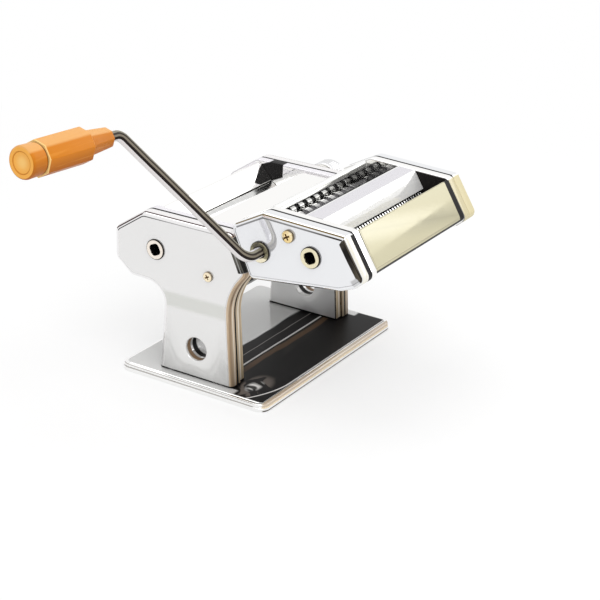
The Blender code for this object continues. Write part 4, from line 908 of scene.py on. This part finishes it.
def lobes(x, radius, angle):
    """Four lobes in the lip's opening, where the radius is below that of the sleeve."""
    return 0.38 * MM * (radius < 6.0 * MM) * np.cos(4 * (angle - 0.35))


body_nickel = ring_finish("nickel_ring", (240, 228, 214), (252, 246, 238), 8.35)
wide_nickel = ring_finish("nickel_ring_arm_shadow", (232, 222, 190), (250, 244, 222), 8.65,
                          shadow=WIDE_REAR[1] / MM)
narrow_nickel = ring_finish("nickel_ring_warm", (224, 212, 174), (250, 246, 224), 8.45)
for name, height, axis, finish, body in (
        ("body", 1.2, REAR_ROLLER, body_nickel, "machine_body"),
        ("wide", 2.2, WIDE_REAR, wide_nickel, "cutter_head"),
        ("narrow", 2.2, NARROW_REAR, narrow_nickel, "cutter_head")):
    piece(f"{name}_ring", [turned(ring_profile(height), axis, closed=True, ripple=lobes)],
          finish, body, [f"{name}_socket_ring"])


# Pan head screws with a cross recess draw the casings on to the tie rods, two on the body and two
# on the cutter head. They are yellow zinc plated.
SPOKES = 120


def cross_head(axis, side, radius, height):
    """A screw's head as a height over its disc, and the wall down to the casing.

    The height falls with the fourth power of the distance from the middle, less a cross of two
    arms, each the product of a smooth step in its width and one in its length.
    """
    share = np.linspace(0, 1, 44)[:, None]
    angle = np.linspace(0, 2 * math.pi, SPOKES, endpoint=False)[None, :]
    u = radius * share * np.cos(angle + 0.5)
    v = radius * share * np.sin(angle + 0.5)

    def fall(size, edge):
        return np.clip((edge - np.abs(size)) / (0.05 * radius) + 0.5, 0, 1)

    arms = np.maximum(fall(u, 0.11 * radius) * fall(v, 0.5 * radius),
                      fall(v, 0.11 * radius) * fall(u, 0.5 * radius))
    rise = height * (1 - 0.45 * share ** 4 + 0 * angle) - 0.5 * height * arms
    rise[-1] = height * 0.5
    y = axis[0] + radius * share * np.cos(angle)
    z = axis[1] + radius * share * np.sin(angle)
    top = np.stack([side * (FACE + CLEAR + rise), y, z], axis=-1)
    levels = [height * 0.5, 0.15 * height, 0.0, 0.0]
    spread = [1.0, 1.0, 0.97, 0.4]
    wall = np.stack([np.stack([np.full(SPOKES, side * (FACE + CLEAR + level)),
                               axis[0] + radius * k * np.cos(angle[0]),
                               axis[1] + radius * k * np.sin(angle[0])], axis=-1)
                     for level, k in zip(levels, spread)])
    return [skin(top, cross=arms, rim=share ** 8 + 0 * angle), skin(wall, rim=1.0),
            plate([wall[-1]], rim=1.0)]


def zinc(name, face, dark):
    """Yellow zinc, warm on the head, with painted shade in the cross and down the rim."""
    made, shade, feed, point, cloud = surface(name, (0.16, 0.30), 200.0, waves=(700.0, 0.004))
    cross, rim = read(shade, "cross", "rim")
    feed("Base Color", cloud.rise(0.3, 0.7).blend(face, (250, 236, 205)))
    filmed(shade, (rim.rise(0.3, 0.8) * 0.85, dark), (cross.rise(0.2, 0.7), (98, 66, 34)))
    return made


body_zinc = zinc("zinc_screw", (244, 228, 200), (92, 78, 60))
head_zinc = zinc("zinc_screw_yellow", (238, 208, 138), (58, 42, 24))
for side, word in ((-1, "left"), (1, "right")):
    for name, axis, radius, height, finish, body in (
            ("body", BODY_TIE, 4.5, 2.2, body_zinc, "machine_body"),
            ("head", HEAD_TIE, 5.5, 3.2, head_zinc, "cutter_head")):
        piece(f"{name}_cross_screw_{word}", cross_head(axis, side, radius * MM, height * MM),
              finish, body, [f"{name}_screw_{word}"], sharp=50.0)


# The thickness knob stands on the right. Pulled out against its spring it turns over a ring with
# nine holes, and its cam sets the gap between the smooth rollers.
INDEX_HOLES = 9
INDEX_START = math.radians(97.0)
INDEX_STEP = math.radians(36.0)
INDEX_CIRCLE = 11.0 * MM
RING_NEAR = 100.3 * MM
RING_FAR = 103.3 * MM
pins = INDEX_START + INDEX_STEP * np.arange(INDEX_HOLES)
index_holes = [circle(KNOB[0] + INDEX_CIRCLE * math.cos(a), KNOB[1] + INDEX_CIRCLE * math.sin(a),
                      2.0 * MM, 24) for a in pins]
index_holes.append(circle(*KNOB, CAM_SHAFT + CLEAR, 40))
index_rows = [(RING_NEAR, 16.0), (RING_FAR - 0.5 * MM, 16.0), (RING_FAR, 15.5)]
index_edge = np.stack([at_x(x, circle(*KNOB, radius * MM, 96)) for x, radius in index_rows])
index_patches = [skin(index_edge)]
for ring in (index_edge[0], index_edge[-1]):
    index_patches.append(plate([ring] + [at_x(ring[0, 0], hole) for hole in index_holes]))
for hole in index_holes:
    index_patches.append(skin(np.stack([at_x(RING_NEAR, hole), at_x(RING_FAR, hole)])))
index_finish = ring_finish("nickel_index", (226, 224, 218), (240, 238, 232), 30.0, 31.0)
piece("index_plate", index_patches, index_finish, "machine_body", ["index_ring"])

satin, shade, feed, point, cloud = surface(
    "satin_aluminium", (0.20, 0.34), 80.0, waves=(300.0, 0.006))
rho, = read(shade, "rho")
turning = shade.node("ShaderNodeMath", {"operation": "SINE"}, {0: rho * 7.0})
feed("Base Color", turning.rise(-1.0, 1.0).blend((222, 222, 223), (238, 238, 239)))

KNOB_BACK = 104.6
KNOB_RIM = 120.6
KNOB_RIBS = 48
KNOB_RADIUS = 17.0
KNOB_BORE = 4.3
SPRING_WELL = 8.2
CAP_SEAT = 12.3


def knurl(x, radius, angle):
    """Shallow grooves along the knob's wall: the cosine of the angle, faded out at both bands."""
    middle = (KNOB_BACK + KNOB_RIM) / 2 * MM
    fade = np.clip((5.2 * MM - np.abs(x - middle)) / (0.6 * MM), 0, 1) * (radius > 16.5 * MM)
    return -0.35 * MM * fade * (0.5 + 0.5 * np.cos(KNOB_RIBS * angle)) ** 2


knob_wall = [(KNOB_BACK, KNOB_BORE, 0), (KNOB_BACK, 16.6, 0.6), (KNOB_BACK + 1.2, KNOB_RADIUS, 0.6)]
knob_wall += [(KNOB_BACK + 2.8 + 0.4 * i, KNOB_RADIUS, 0) for i in range(27)]
knob_wall += [(KNOB_RIM - 0.9, KNOB_RADIUS, 0.8), (KNOB_RIM, 16.0, 0.6), (KNOB_RIM, CAP_SEAT, 0.2),
              (KNOB_RIM - 2.3, CAP_SEAT, 0.1), (KNOB_RIM - 2.3, SPRING_WELL, 0),
              (KNOB_BACK + 3.4, SPRING_WELL, 0), (KNOB_BACK + 3.4, KNOB_BORE, 0)]
nub_turn = (KNOB[0] + INDEX_CIRCLE * math.cos(INDEX_START),
            KNOB[1] + INDEX_CIRCLE * math.sin(INDEX_START))
nub = [(KNOB_BACK + 1.0, 0, 0), (KNOB_BACK + 1.0, 1.4, 0), (103.6, 1.4, 0.3), (103.6, 0, 0)]
piece("knurled_knob", [turned(knob_wall, KNOB, closed=True, steps=384, bends=2, ripple=knurl),
                       turned(nub, nub_turn, steps=20)],
      satin, "thickness_knob", ["thickness_knob"])
cap_face = [(KNOB_RIM - 2.0, 0, 0), (KNOB_RIM - 2.0, 12.0, 0.1), (KNOB_RIM, 12.0, 0.3),
            (KNOB_RIM + 0.6, 10.5, 0.6), (KNOB_RIM + 0.2, 7.0, 2.0), (KNOB_RIM + 0.1, 0, 0)]
piece("knob_face_cap", [turned(cap_face, KNOB, bends=4, steps=96)],
      satin, "thickness_knob", ["knob_cap"])


# Inside the casings are the sliding plates that carry the front roller, the cam shaft that moves
# them, flanged bronze bushes and steel gears. Steel blocks and screws hold the legs to the base.
def finish_node(finish, *names):
    """Give CAD nodes that are shown as they are a finish of their own."""
    for name in names:
        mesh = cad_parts[name].data
        mesh.materials.clear()
        mesh.materials.append(finish)


oiled, shade, feed, point, cloud = surface("gear_steel", (0.25, 0.45), 120.0, waves=(350.0, 0.02))
feed("Base Color", cloud.rise(0.35, 0.7).blend((172, 172, 170), (116, 112, 106)))
bronze, shade, feed, point, cloud = surface("sintered_bronze", (0.35, 0.55), 300.0)
pores = shade.node("ShaderNodeTexVoronoi", None, {"Vector": point, "Scale": 1400.0}, "Distance")
feed("Base Color", pores.rise(0.12, 0.35).blend((112, 84, 52), (196, 158, 108)))
hidden_zinc, shade, feed, point, cloud = surface("zinc_screw_below", (0.20, 0.35), 200.0)
feed("Base Color", cloud.rise(0.3, 0.7).blend((232, 206, 150), (214, 186, 132)))
finish_node(plain_steel, "leg_block_left", "leg_block_right", "roller_carrier_left",
            "roller_carrier_right", "cam_shaft", "knob_spring", "head_rail_left", "head_rail_right",
            "head_bracket_left", "head_bracket_right")
finish_node(oiled, "rear_roller_gear", "front_roller_gear", "wide_gear_rear", "wide_gear_front",
            "narrow_gear_rear", "narrow_gear_front")
finish_node(bronze, "roller_bush_left", "roller_bush_right", "bearing_plate_left",
            "bearing_plate_right")
finish_node(hidden_zinc, "base_screw_left", "base_screw_right")


# The cutter head has sides of the same make as the body's. It hangs by two brackets on rails on
# the body's leaning front and lifts off upwards.
head_corners = anticlockwise(np.array([
    (front_y(106.0 * MM, 1.5 * MM) / MM, 106.0, 6.0), (front_y(150.3 * MM, 1.5 * MM) / MM, 150.3, 7.0),
    (-64.9, 167.6, 10.0), (-143.0, 165.1, 5.0), (-164.6, 131.0, 6.0), (-154.4, 122.2, 8.0),
    (-141.0, 116.7, 15.0)]) * MM + np.array([0.0, FLOOR, 0.0]))

def head_masks(upward, forward):
    """Masks of a head side's top and of its nose."""
    return upward.rise(0.6, 0.9), forward.rise(0.5, 0.8) * upward.fall(0.75, 0.95)


head_chrome, shade, feed, point, cloud = surface(
    "chromed_head", (0.02, 0.07), waves=(16.0, 0.02), Base_Color=rgb(238, 239, 241))
x, y, z = parts_of(shade, point)
across, upward, forward = read(shade, "across", "upward", "forward")
top, nose = head_masks(upward, forward)
near = x.fall(-1.0, 1.0)
under = (-upward).rise(0.3, 0.6) * forward.fall(0.8, 0.95)
behind = (-forward).rise(0.5, 0.8) * upward.fall(0.3, 0.6)
ahead = top * y.fall(-140.0, -100.0)
wavy = drawn_out(shade, point, (30.0, 1.0, 1.0), 14.0)
fine = drawn_out(shade, point, (120.0, 1.5, 1.5), 12.0, 4.0)
cream = wavy.rise(0.3, 0.7).blend((232, 224, 196), (246, 242, 224))
# The film paints reflections and shade on the head's chrome: dark and brown lines along the top's
# fillet, cream reflections on the nose, black reflections on the near nose, grey and dark lines along
# the lower and rear edges, and black seam lines as painted shade.
filmed(shade,
       (across.fall(-0.4, 0.2) * 0.45, (234, 235, 238)),
       (top * across.band(2.6, 3.7, 0.3), (112, 92, 44)),
       (top * across.band(-0.3, 0.9, 0.3) * (0.85 + 0.15 * ahead), (34, 28, 24)),
       (nose * across.rise(2.6, 3.2) * 0.75, cream),
       ((1.0 - near) * nose * across.rise(-0.2, 0.6) * 0.9, FAR_NOSE),
       (near * nose * across.band(-3.6, 2.4, 0.4),
        fine.rise(0.48, 0.60).blend((20, 17, 16), (84, 78, 66))),
       (under * across.band(0.0, 0.4, 0.25) * 0.7, LINE_GREY),
       (behind * across.band(0.0, 0.6, 0.3) * 0.8, (60, 56, 52)),
       (top * across.band(13.8, 15.7, 0.25), LINE_BLACK),
       (near * nose * across.band(10.6, 15.7, 0.25), LINE_BLACK),
       ((1.0 - top) * (1.0 - nose) * across.band(14.2, 15.7, 0.25), LINE_BLACK))

head_inside, shade, feed, point, cloud = surface(
    "chromed_head_inside", (0.04, 0.11), waves=(16.0, 0.02), Base_Color=rgb(251, 250, 248))
x, y, z = parts_of(shade, point)
across, upward, forward = read(shade, "across", "upward", "forward")
top, nose = head_masks(upward, forward)
far_nose = nose * x.rise(-1.0, 1.0)
inward = across.fall(-0.2, 0.2)
slot_shade = inward * y.band(-150.0, -106.0, 0.8) * (z - y * 0.02).fall(176.4, 177.0)
wide_shade = inward * y.band(-82.0, -62.0, 0.8) * z.band(120.0, 170.0, 1.0)
# Besides the painted shade in the slot and round the wide cutters, the film paints grey and black
# lines along the edges and the seam, and a cream reflection on the far nose.
filmed(shade,
       (top * across.band(0.0, 0.4, 0.3) * 0.6, LINE_GREY),
       (far_nose * across.rise(0.6, 1.0) * 0.9, FAR_NOSE),
       (nose * across.band(0.2, 0.8, 0.3) * 0.8, LINE_GREY),
       (across.band(8.6, 10.0, 0.2) * (1.0 - far_nose), LINE_BLACK),
       (slot_shade, (22, 19, 19)),
       (wide_shade * 0.8, (22, 19, 19)))

CUTTER_JOURNAL = 4.0
driven_axes = (WIDE_REAR, NARROW_REAR)
ring_holes = [circle(*axis, RING_SLEEVE + CLEAR) for axis in driven_axes]
for side, word in ((-1, "left"), (1, "right")):
    journals = [circle(*axis, (DRIVE_JOURNAL if side < 0 and axis in driven_axes
                               else CUTTER_JOURNAL * MM) + CLEAR, 32)
                for axis in (WIDE_REAR, WIDE_FRONT, NARROW_REAR, NARROW_FRONT)]
    for layer, section, holes, finish in (
            ("outer", outer_section(), ring_holes if side < 0 else [], head_chrome),
            ("inner", inner_section(), journals, head_inside)):
        piece(f"head_{layer}_{word}", shell_patches(head_corners, side, section, holes),
              finish, "cutter_head", [f"head_{layer}_shell_{word}"])
tie_bar("head_tie_bar", HEAD_TIE, 3.0, "cutter_head", "head_tie_rod")


# Three bent strips of chromed sheet close the head's top and leave a slot above each pair of
# cutters. The front one wraps over the nose.
head_rear_path = np.array([
    (-60.10, 151.9, 0.0), (-60.9, 173.6, 2.0), (front_y(150.3 * MM, 4.5 * MM) / MM, 157.1, 4.0),
    (front_y(142.3 * MM, 4.5 * MM) / MM, 149.1, 0.0)]) * MM
head_centre_path = np.array([
    (-79.13, 154.57, 0.0), (-93.2, 173.6, 2.0), (-110.1, 173.6, 1.2), (-119.5, 158.5, 0.0)]) * MM
head_front_path = np.array([
    (-137.93, 158.67, 0.0), (-142.6, 172.9, 1.2), (-162.8, 140.0, 5.0), (-155.3, 134.0, 0.0)]) * MM

top_chrome, shade, feed, point, cloud = surface(
    "chromed_top", (0.04, 0.12), waves=(22.0, 0.03), Base_Color=rgb(249, 249, 247))
x, y, z = parts_of(shade, point)
# The dark band low on the sheets, where they turn down inside the head, is painted shade.
filmed(shade,
       (z.rise(172.8, 173.4) * y.band(-109.4, -95.0, 0.6) * 0.88, (210, 208, 213)),
       (y.band(-122.0, -110.6, 0.3) * z.fall(172.6, 173.4) * 0.75, (252, 252, 251)),
       (z.band(150.0, 155.8, 0.3) * 0.7, (90, 88, 88)))

nose_chrome, shade, feed, point, cloud = surface(
    "chromed_nose", (0.05, 0.14), waves=(22.0, 0.03))
x, y, z = parts_of(shade, point)
facing, = read(shade, "facing")
wavy = drawn_out(shade, point, (0.6, 14.0, 14.0), 10.0)
# The cream that pales upwards over the nose is a painted reflection; the film paints the outer side a
# duller cream, a brown line along the near edge, and the inner side, the lower edge and the far end
# black as painted shade.
feed("Base Color", (z + wavy * 12.0).rise(138.0, 180.0).blend((236, 228, 192), (246, 242, 220)))
filmed(shade,
       (facing.rise(-0.5, 0.5) * 0.92, (200, 194, 164)),
       (x.band(-76.4, -75.9, 0.2) * 0.4, (120, 112, 84)),
       ((z + wavy * 0.8).fall(140.6, 141.4), LINE_BLACK),
       (x.rise(70.0, 71.0), LINE_BLACK),
       ((-facing).rise(-0.5, 0.5) * 0.9, (20, 18, 18)))
for word, path, finish in (("rear", head_rear_path, top_chrome),
                           ("centre", head_centre_path, top_chrome),
                           ("front", head_front_path, nose_chrome)):
    piece(f"head_{word}_sheet", folded(path), finish, "cutter_head",
          [f"head_{word}_cover"])


# The cutters are turned from steel bar. Each pair's discs run in the other's grooves, 13 mm apart
# for wide ribbons and 4.3 mm apart for narrow ones, and the crank's dog fits the rear of each pair.
CUTTER_RADIUS = 9.5
CUTTER_ROOT = 7.9
NEAR_CUTTER_END = -82.8
FAR_CUTTER_END = 90.4


def cutter_patches(axis, pitch, offset, driven, unshaded_depth):
    """A row of discs along a shaft, with grooves between them down to the root.

    The last argument is how far in from a disc's rim the steel stays bright; deeper in, the groove
    mark carries painted shade.
    """
    disc = pitch / 2 - 0.3
    count = int(2 * ROLL_END / pitch)
    low = -pitch * (count - 1) / 2 + offset + pitch * np.arange(count) - disc / 2
    high = np.minimum(low + disc, ROLL_END - 0.3)
    rows = []
    for start, stop in zip(low.tolist(), high.tolist()):
        rows += [(start, CUTTER_ROOT, 0.1), (start, CUTTER_RADIUS, 0.15), (stop, CUTTER_RADIUS, 0.15),
                 (stop, CUTTER_ROOT, 0.1)]
    shaft = [(ROLL_END, CUTTER_ROOT, 0.1), (ROLL_END, CUTTER_JOURNAL, 0.1),
             (FAR_CUTTER_END, CUTTER_JOURNAL, 0.4), (FAR_CUTTER_END, 0, 0)]
    if driven:
        near = [(-ROLL_END, DOG_OUTSIDE, 0), (-ROLL_END, CUTTER_ROOT, 0.1)]
    else:
        near = [(NEAR_CUTTER_END, 0, 0), (NEAR_CUTTER_END, CUTTER_JOURNAL, 0.4),
                (-ROLL_END, CUTTER_JOURNAL, 0.1), (-ROLL_END, CUTTER_ROOT, 0.1)]
    points, faces, marks = turned(near + rows + shaft, axis, steps=60, bends=1)
    reach = np.hypot(points[:, 1] - axis[0], points[:, 2] - axis[1])
    within = np.abs(points[:, 0]) < (ROLL_END - 0.1) * MM
    marks["groove"] = np.where(within & (reach < (CUTTER_RADIUS - unshaded_depth) * MM), 1.0, 0.0)
    return [(points, faces, marks)] + (driven_end(axis, DOG_OUTSIDE) if driven else [])


for name, axis, pitch, offset, driven, unshaded_depth in (
        ("wide_cutter_rear", WIDE_REAR, 13.0, 0.0, True, 0.25),
        ("wide_cutter_front", WIDE_FRONT, 13.0, 6.5, False, 0.25),
        ("narrow_cutter_rear", NARROW_REAR, 4.3, 0.0, True, 0.02),
        ("narrow_cutter_front", NARROW_FRONT, 4.3, 2.15, False, 0.02)):
    piece(name + "_bar", cutter_patches(axis, pitch, offset, driven, unshaded_depth), ground_steel, name,
          [name])


# The crank is one chromed rod, bent twice in a plane: out of its socket, up the arm, and out again
# along the grip. Its end has a dog that fits the slots of any driven shaft.
ROD_RADIUS = 4.5 * MM
CRANK_RISE = math.radians(45.96)
CRANK_REACH = 137.1
GRIP_TILT = math.radians(3.5)
GRIP_TWIST = math.radians(8.5)
rise_way = np.array([0.0, math.cos(CRANK_RISE), math.sin(CRANK_RISE)])
side_way = np.array([0.0, -math.sin(CRANK_RISE), math.cos(CRANK_RISE)])
grip_way = np.array([-math.cos(GRIP_TILT), 0.0, 0.0]) + rise_way * math.sin(GRIP_TILT)
ROD_IN_GRIP = 90.0
socket_place = np.array([0.0, *WIDE_REAR])
low_corner = np.array([-121.0, 0.0])
high_corner = np.array([-164.5, CRANK_REACH])
rod_end = high_corner + ROD_IN_GRIP * np.array([-math.cos(GRIP_TILT), math.sin(GRIP_TILT)])
rod_path = [(-84.5, 0.0, 0.0), (*low_corner, 13.0), (*high_corner, 9.0), (*rod_end, 0.0)]


def swept(path, radius):
    """A round bar along a rounded path in the crank's plane, with both ends bevelled.

    Each ring is the path's point plus the radius times the cosine of the angle along the path's
    normal and its sine square to the plane. turn is that cosine and tilt that sine.
    """
    points, normals = rounded(np.array(path) * MM, steps=20, closed=False)
    place = socket_place + points[:, :1] * [1, 0, 0] + points[:, 1:] * rise_way
    across = normals[:, :1] * [1, 0, 0] + normals[:, 1:] * rise_way
    angle = np.linspace(0, 2 * math.pi, 48, endpoint=False)
    ring = np.cos(angle)[None, :, None] * across[:, None] + np.sin(angle)[None, :, None] * side_way
    radii = np.full(len(points), radius)
    radii[0] = radii[-1] = radius - 0.6 * MM
    return capped(place[:, None] + radii[:, None, None] * ring,
                  turn=np.cos(angle)[None, :], tilt=np.sin(angle)[None, :])


rod_chrome, shade, feed, point, cloud = surface(
    "chromed_rod", (0.03, 0.08), Base_Color=rgb(232, 230, 232))
turn, tilt = read(shade, "turn", "tilt")
flow = drawn_out(shade, point, (6.0, 2.0, 2.0), 12.0, 2.0)
behind = shade.math("ARCTAN2", -tilt, -turn) * (180.0 / math.pi)
round_it = behind + (flow - 0.5) * 8.0
# Round the rod the film paints reflections: bands of pale lilac, olive, black, grey-brown and pale
# grey that follow the angle round it.
filmed(shade,
       (round_it.band(-229.0, -104.0, 2.0) * 0.7, (232, 230, 236)),
       (round_it.band(-229.0, -170.0, 8.0) * 0.6, (206, 204, 216)),
       (round_it.band(-125.0, -96.0, 5.0) * 0.9, (116, 110, 84)),
       (round_it.band(-94.0, -70.0, 4.0), (54, 48, 42)),
       (round_it.band(-70.0, -52.0, 5.0), (128, 120, 106)),
       (round_it.band(-50.0, -22.0, 3.0), (28, 21, 18)),
       (round_it.band(-18.0, 60.0, 3.0) * 0.85, (222, 218, 216)),
       (round_it.band(36.0, 80.0, 6.0) * 0.7, (190, 188, 186)))
piece("crank_bar", swept(rod_path, ROD_RADIUS), rod_chrome, "crank", ["crank_rod"])


# The grip turns freely on the rod's end. It is moulded in orange plastic with eight flat sides, a
# slimmer tapered collar next to the arm, and a round dished cap pressed in its far end.
GRIP_START = 14.0
COLLAR_END = 42.5
BODY_END = 96.0
CAP_LOW = BODY_END + 0.3
CAP_HIGH = CAP_LOW + 15.6
OCTAGON = 8
OCTAGON_EDGE = 0.07
BORE = 5.2
GRIP_RADIUS = 15.0
grip_corner = socket_place + np.array([high_corner[0] * MM, 0, 0]) + rise_way * high_corner[1] * MM
grip_axis = grip_way / np.linalg.norm(grip_way)
level = np.array([0.0, 0.0, 1.0]) - grip_axis * grip_axis[2]
grip_up = level / np.linalg.norm(level)
grip_side = np.cross(grip_up, grip_axis)


def along_grip(profile, sides=0):
    """Sections across the grip's axis: flats with rounded edges between them, or a circle.

    Each (distance, radius) of the rounded profile, in millimetres, gives a section at that
    distance, scaled to the radius. A flat-sided section is a regular polygon with small arcs at
    its corners.
    """
    line = rounded(np.array(profile) * MM, steps=4, closed=False)[0]
    if sides:
        corner = 2 * math.pi * np.arange(sides) / sides + GRIP_TWIST
        polygon = np.column_stack([np.cos(corner), np.sin(corner), np.full(sides, OCTAGON_EDGE)])
        shape = rounded(polygon, steps=4)[0]
    else:
        shape = circle(0.0, 0.0, 1.0, 64)
    u, v = shape[:, 0], shape[:, 1]
    section = u[:, None] * grip_side + v[:, None] * grip_up
    grid = grip_corner + line[:, :1, None] * grip_axis + line[:, 1:, None] * section[None]
    return skin(grid, rho=line[:, 1:] / MM, reach=line[:, :1] / MM, raised=v[None, :])


orange, shade, feed = coating("orange_plastic", Metallic=0.0, Coat_Roughness=0.15, IOR=1.45,
                              Specular_IOR_Level=0.22)
point = shade.node("ShaderNodeTexCoord", output="Object")
rho, reach, raised = read(shade, "rho", "reach", "raised")
flow = drawn_out(shade, point, (1.4, 60.0, 60.0), 5.0, 3.0)
cloud = shade.node("ShaderNodeTexNoise", None, {"Vector": point, "Scale": 60.0, "Detail": 2.0})
face = reach.rise(CAP_HIGH - 1.5, CAP_HIGH - 1.4)
on_cap = reach.rise(BODY_END + 0.1, BODY_END + 0.3)
# The grip's colours paint light and shade: the upper facets lighter with a painted highlight on the
# top facet, the lower facets, the collar's underside and the cap's underside darker, a lit end face
# with a shaded groove and a painted highlight in its middle, and painted highlights on the body's end
# and the collar's edge. The dark line at the cap is its joint.
feed("Base Color", painted(
    raised.rise(-0.75, 0.35).blend((168, 92, 14), (208, 124, 18)),
    (raised.rise(0.66, 0.80), (228, 168, 98)),
    (reach.fall(COLLAR_END, COLLAR_END + 0.4) * raised.fall(0.2, 0.9) * 0.4, (176, 100, 18)),
    (flow.rise(0.56, 0.66) * 0.25, (228, 158, 62)),
    (on_cap * raised.fall(-0.2, 0.8) * 0.5, (176, 98, 12)),
    (face * rho.fall(11.8, 12.4), (244, 176, 78)),
    (face * rho.band(8.5, 9.1, 0.3), (206, 132, 40)),
    (face * rho.fall(1.0, 8.0) * 0.7, (252, 208, 128)),
    (reach.band(95.2, 96.1, 0.2) * (1.0 - on_cap) * 0.8, (250, 214, 140)),
    (reach.band(43.0, 43.8, 0.3) * 0.7, (246, 204, 130)),
    (on_cap * reach.fall(96.9, 97.5) * 0.85, (84, 42, 8))))
feed("Roughness", 0.38 + 0.12 * cloud.rise(0.35, 0.7))
feed("Coat Weight", 0.03 + 0.05 * cloud.rise(0.35, 0.7))
dimpled(shade, feed, point, 500.0, 0.006)

grip_line = [(GRIP_START, BORE, 0), (GRIP_START, 7.8, 0.3), (GRIP_START + 1.5, 8.8, 0.8),
             (COLLAR_END, 11.2, 0.3), (COLLAR_END + 1.0, 13.8, 0.3),
             (COLLAR_END + 2.5, GRIP_RADIUS, 0.8), (BODY_END, GRIP_RADIUS, 0.6), (BODY_END, BORE, 0)]
bore_line = [(BODY_END, BORE, 0), (GRIP_START, BORE, 0)]
piece("octagonal_grip", [along_grip(grip_line, OCTAGON), along_grip(bore_line, OCTAGON)],
      orange, "crank_grip", ["crank_grip"], sharp=40.0)
cap_side = [(CAP_LOW, 0, 0), (CAP_LOW, 13.0, 0.2), (CAP_HIGH - 2.2, 13.4, 0.6),
            (CAP_HIGH - 0.6, 12.9, 0.5), (CAP_HIGH, 12.0, 0.3), (CAP_HIGH, 10.6, 0)]
cap_dish = [(CAP_HIGH, 10.6, 0), (CAP_HIGH, 9.3, 0.2), (CAP_HIGH - 0.6, 8.8, 0.2),
            (CAP_HIGH - 0.5, 8.1, 0.4), (CAP_HIGH - 1.0, 5.0, 3.0), (CAP_HIGH - 1.2, 0, 0)]
piece("grip_cap", [along_grip(cap_side), along_grip(cap_dish)],
      orange, "crank_grip", ["grip_end_cap"], sharp=40.0)
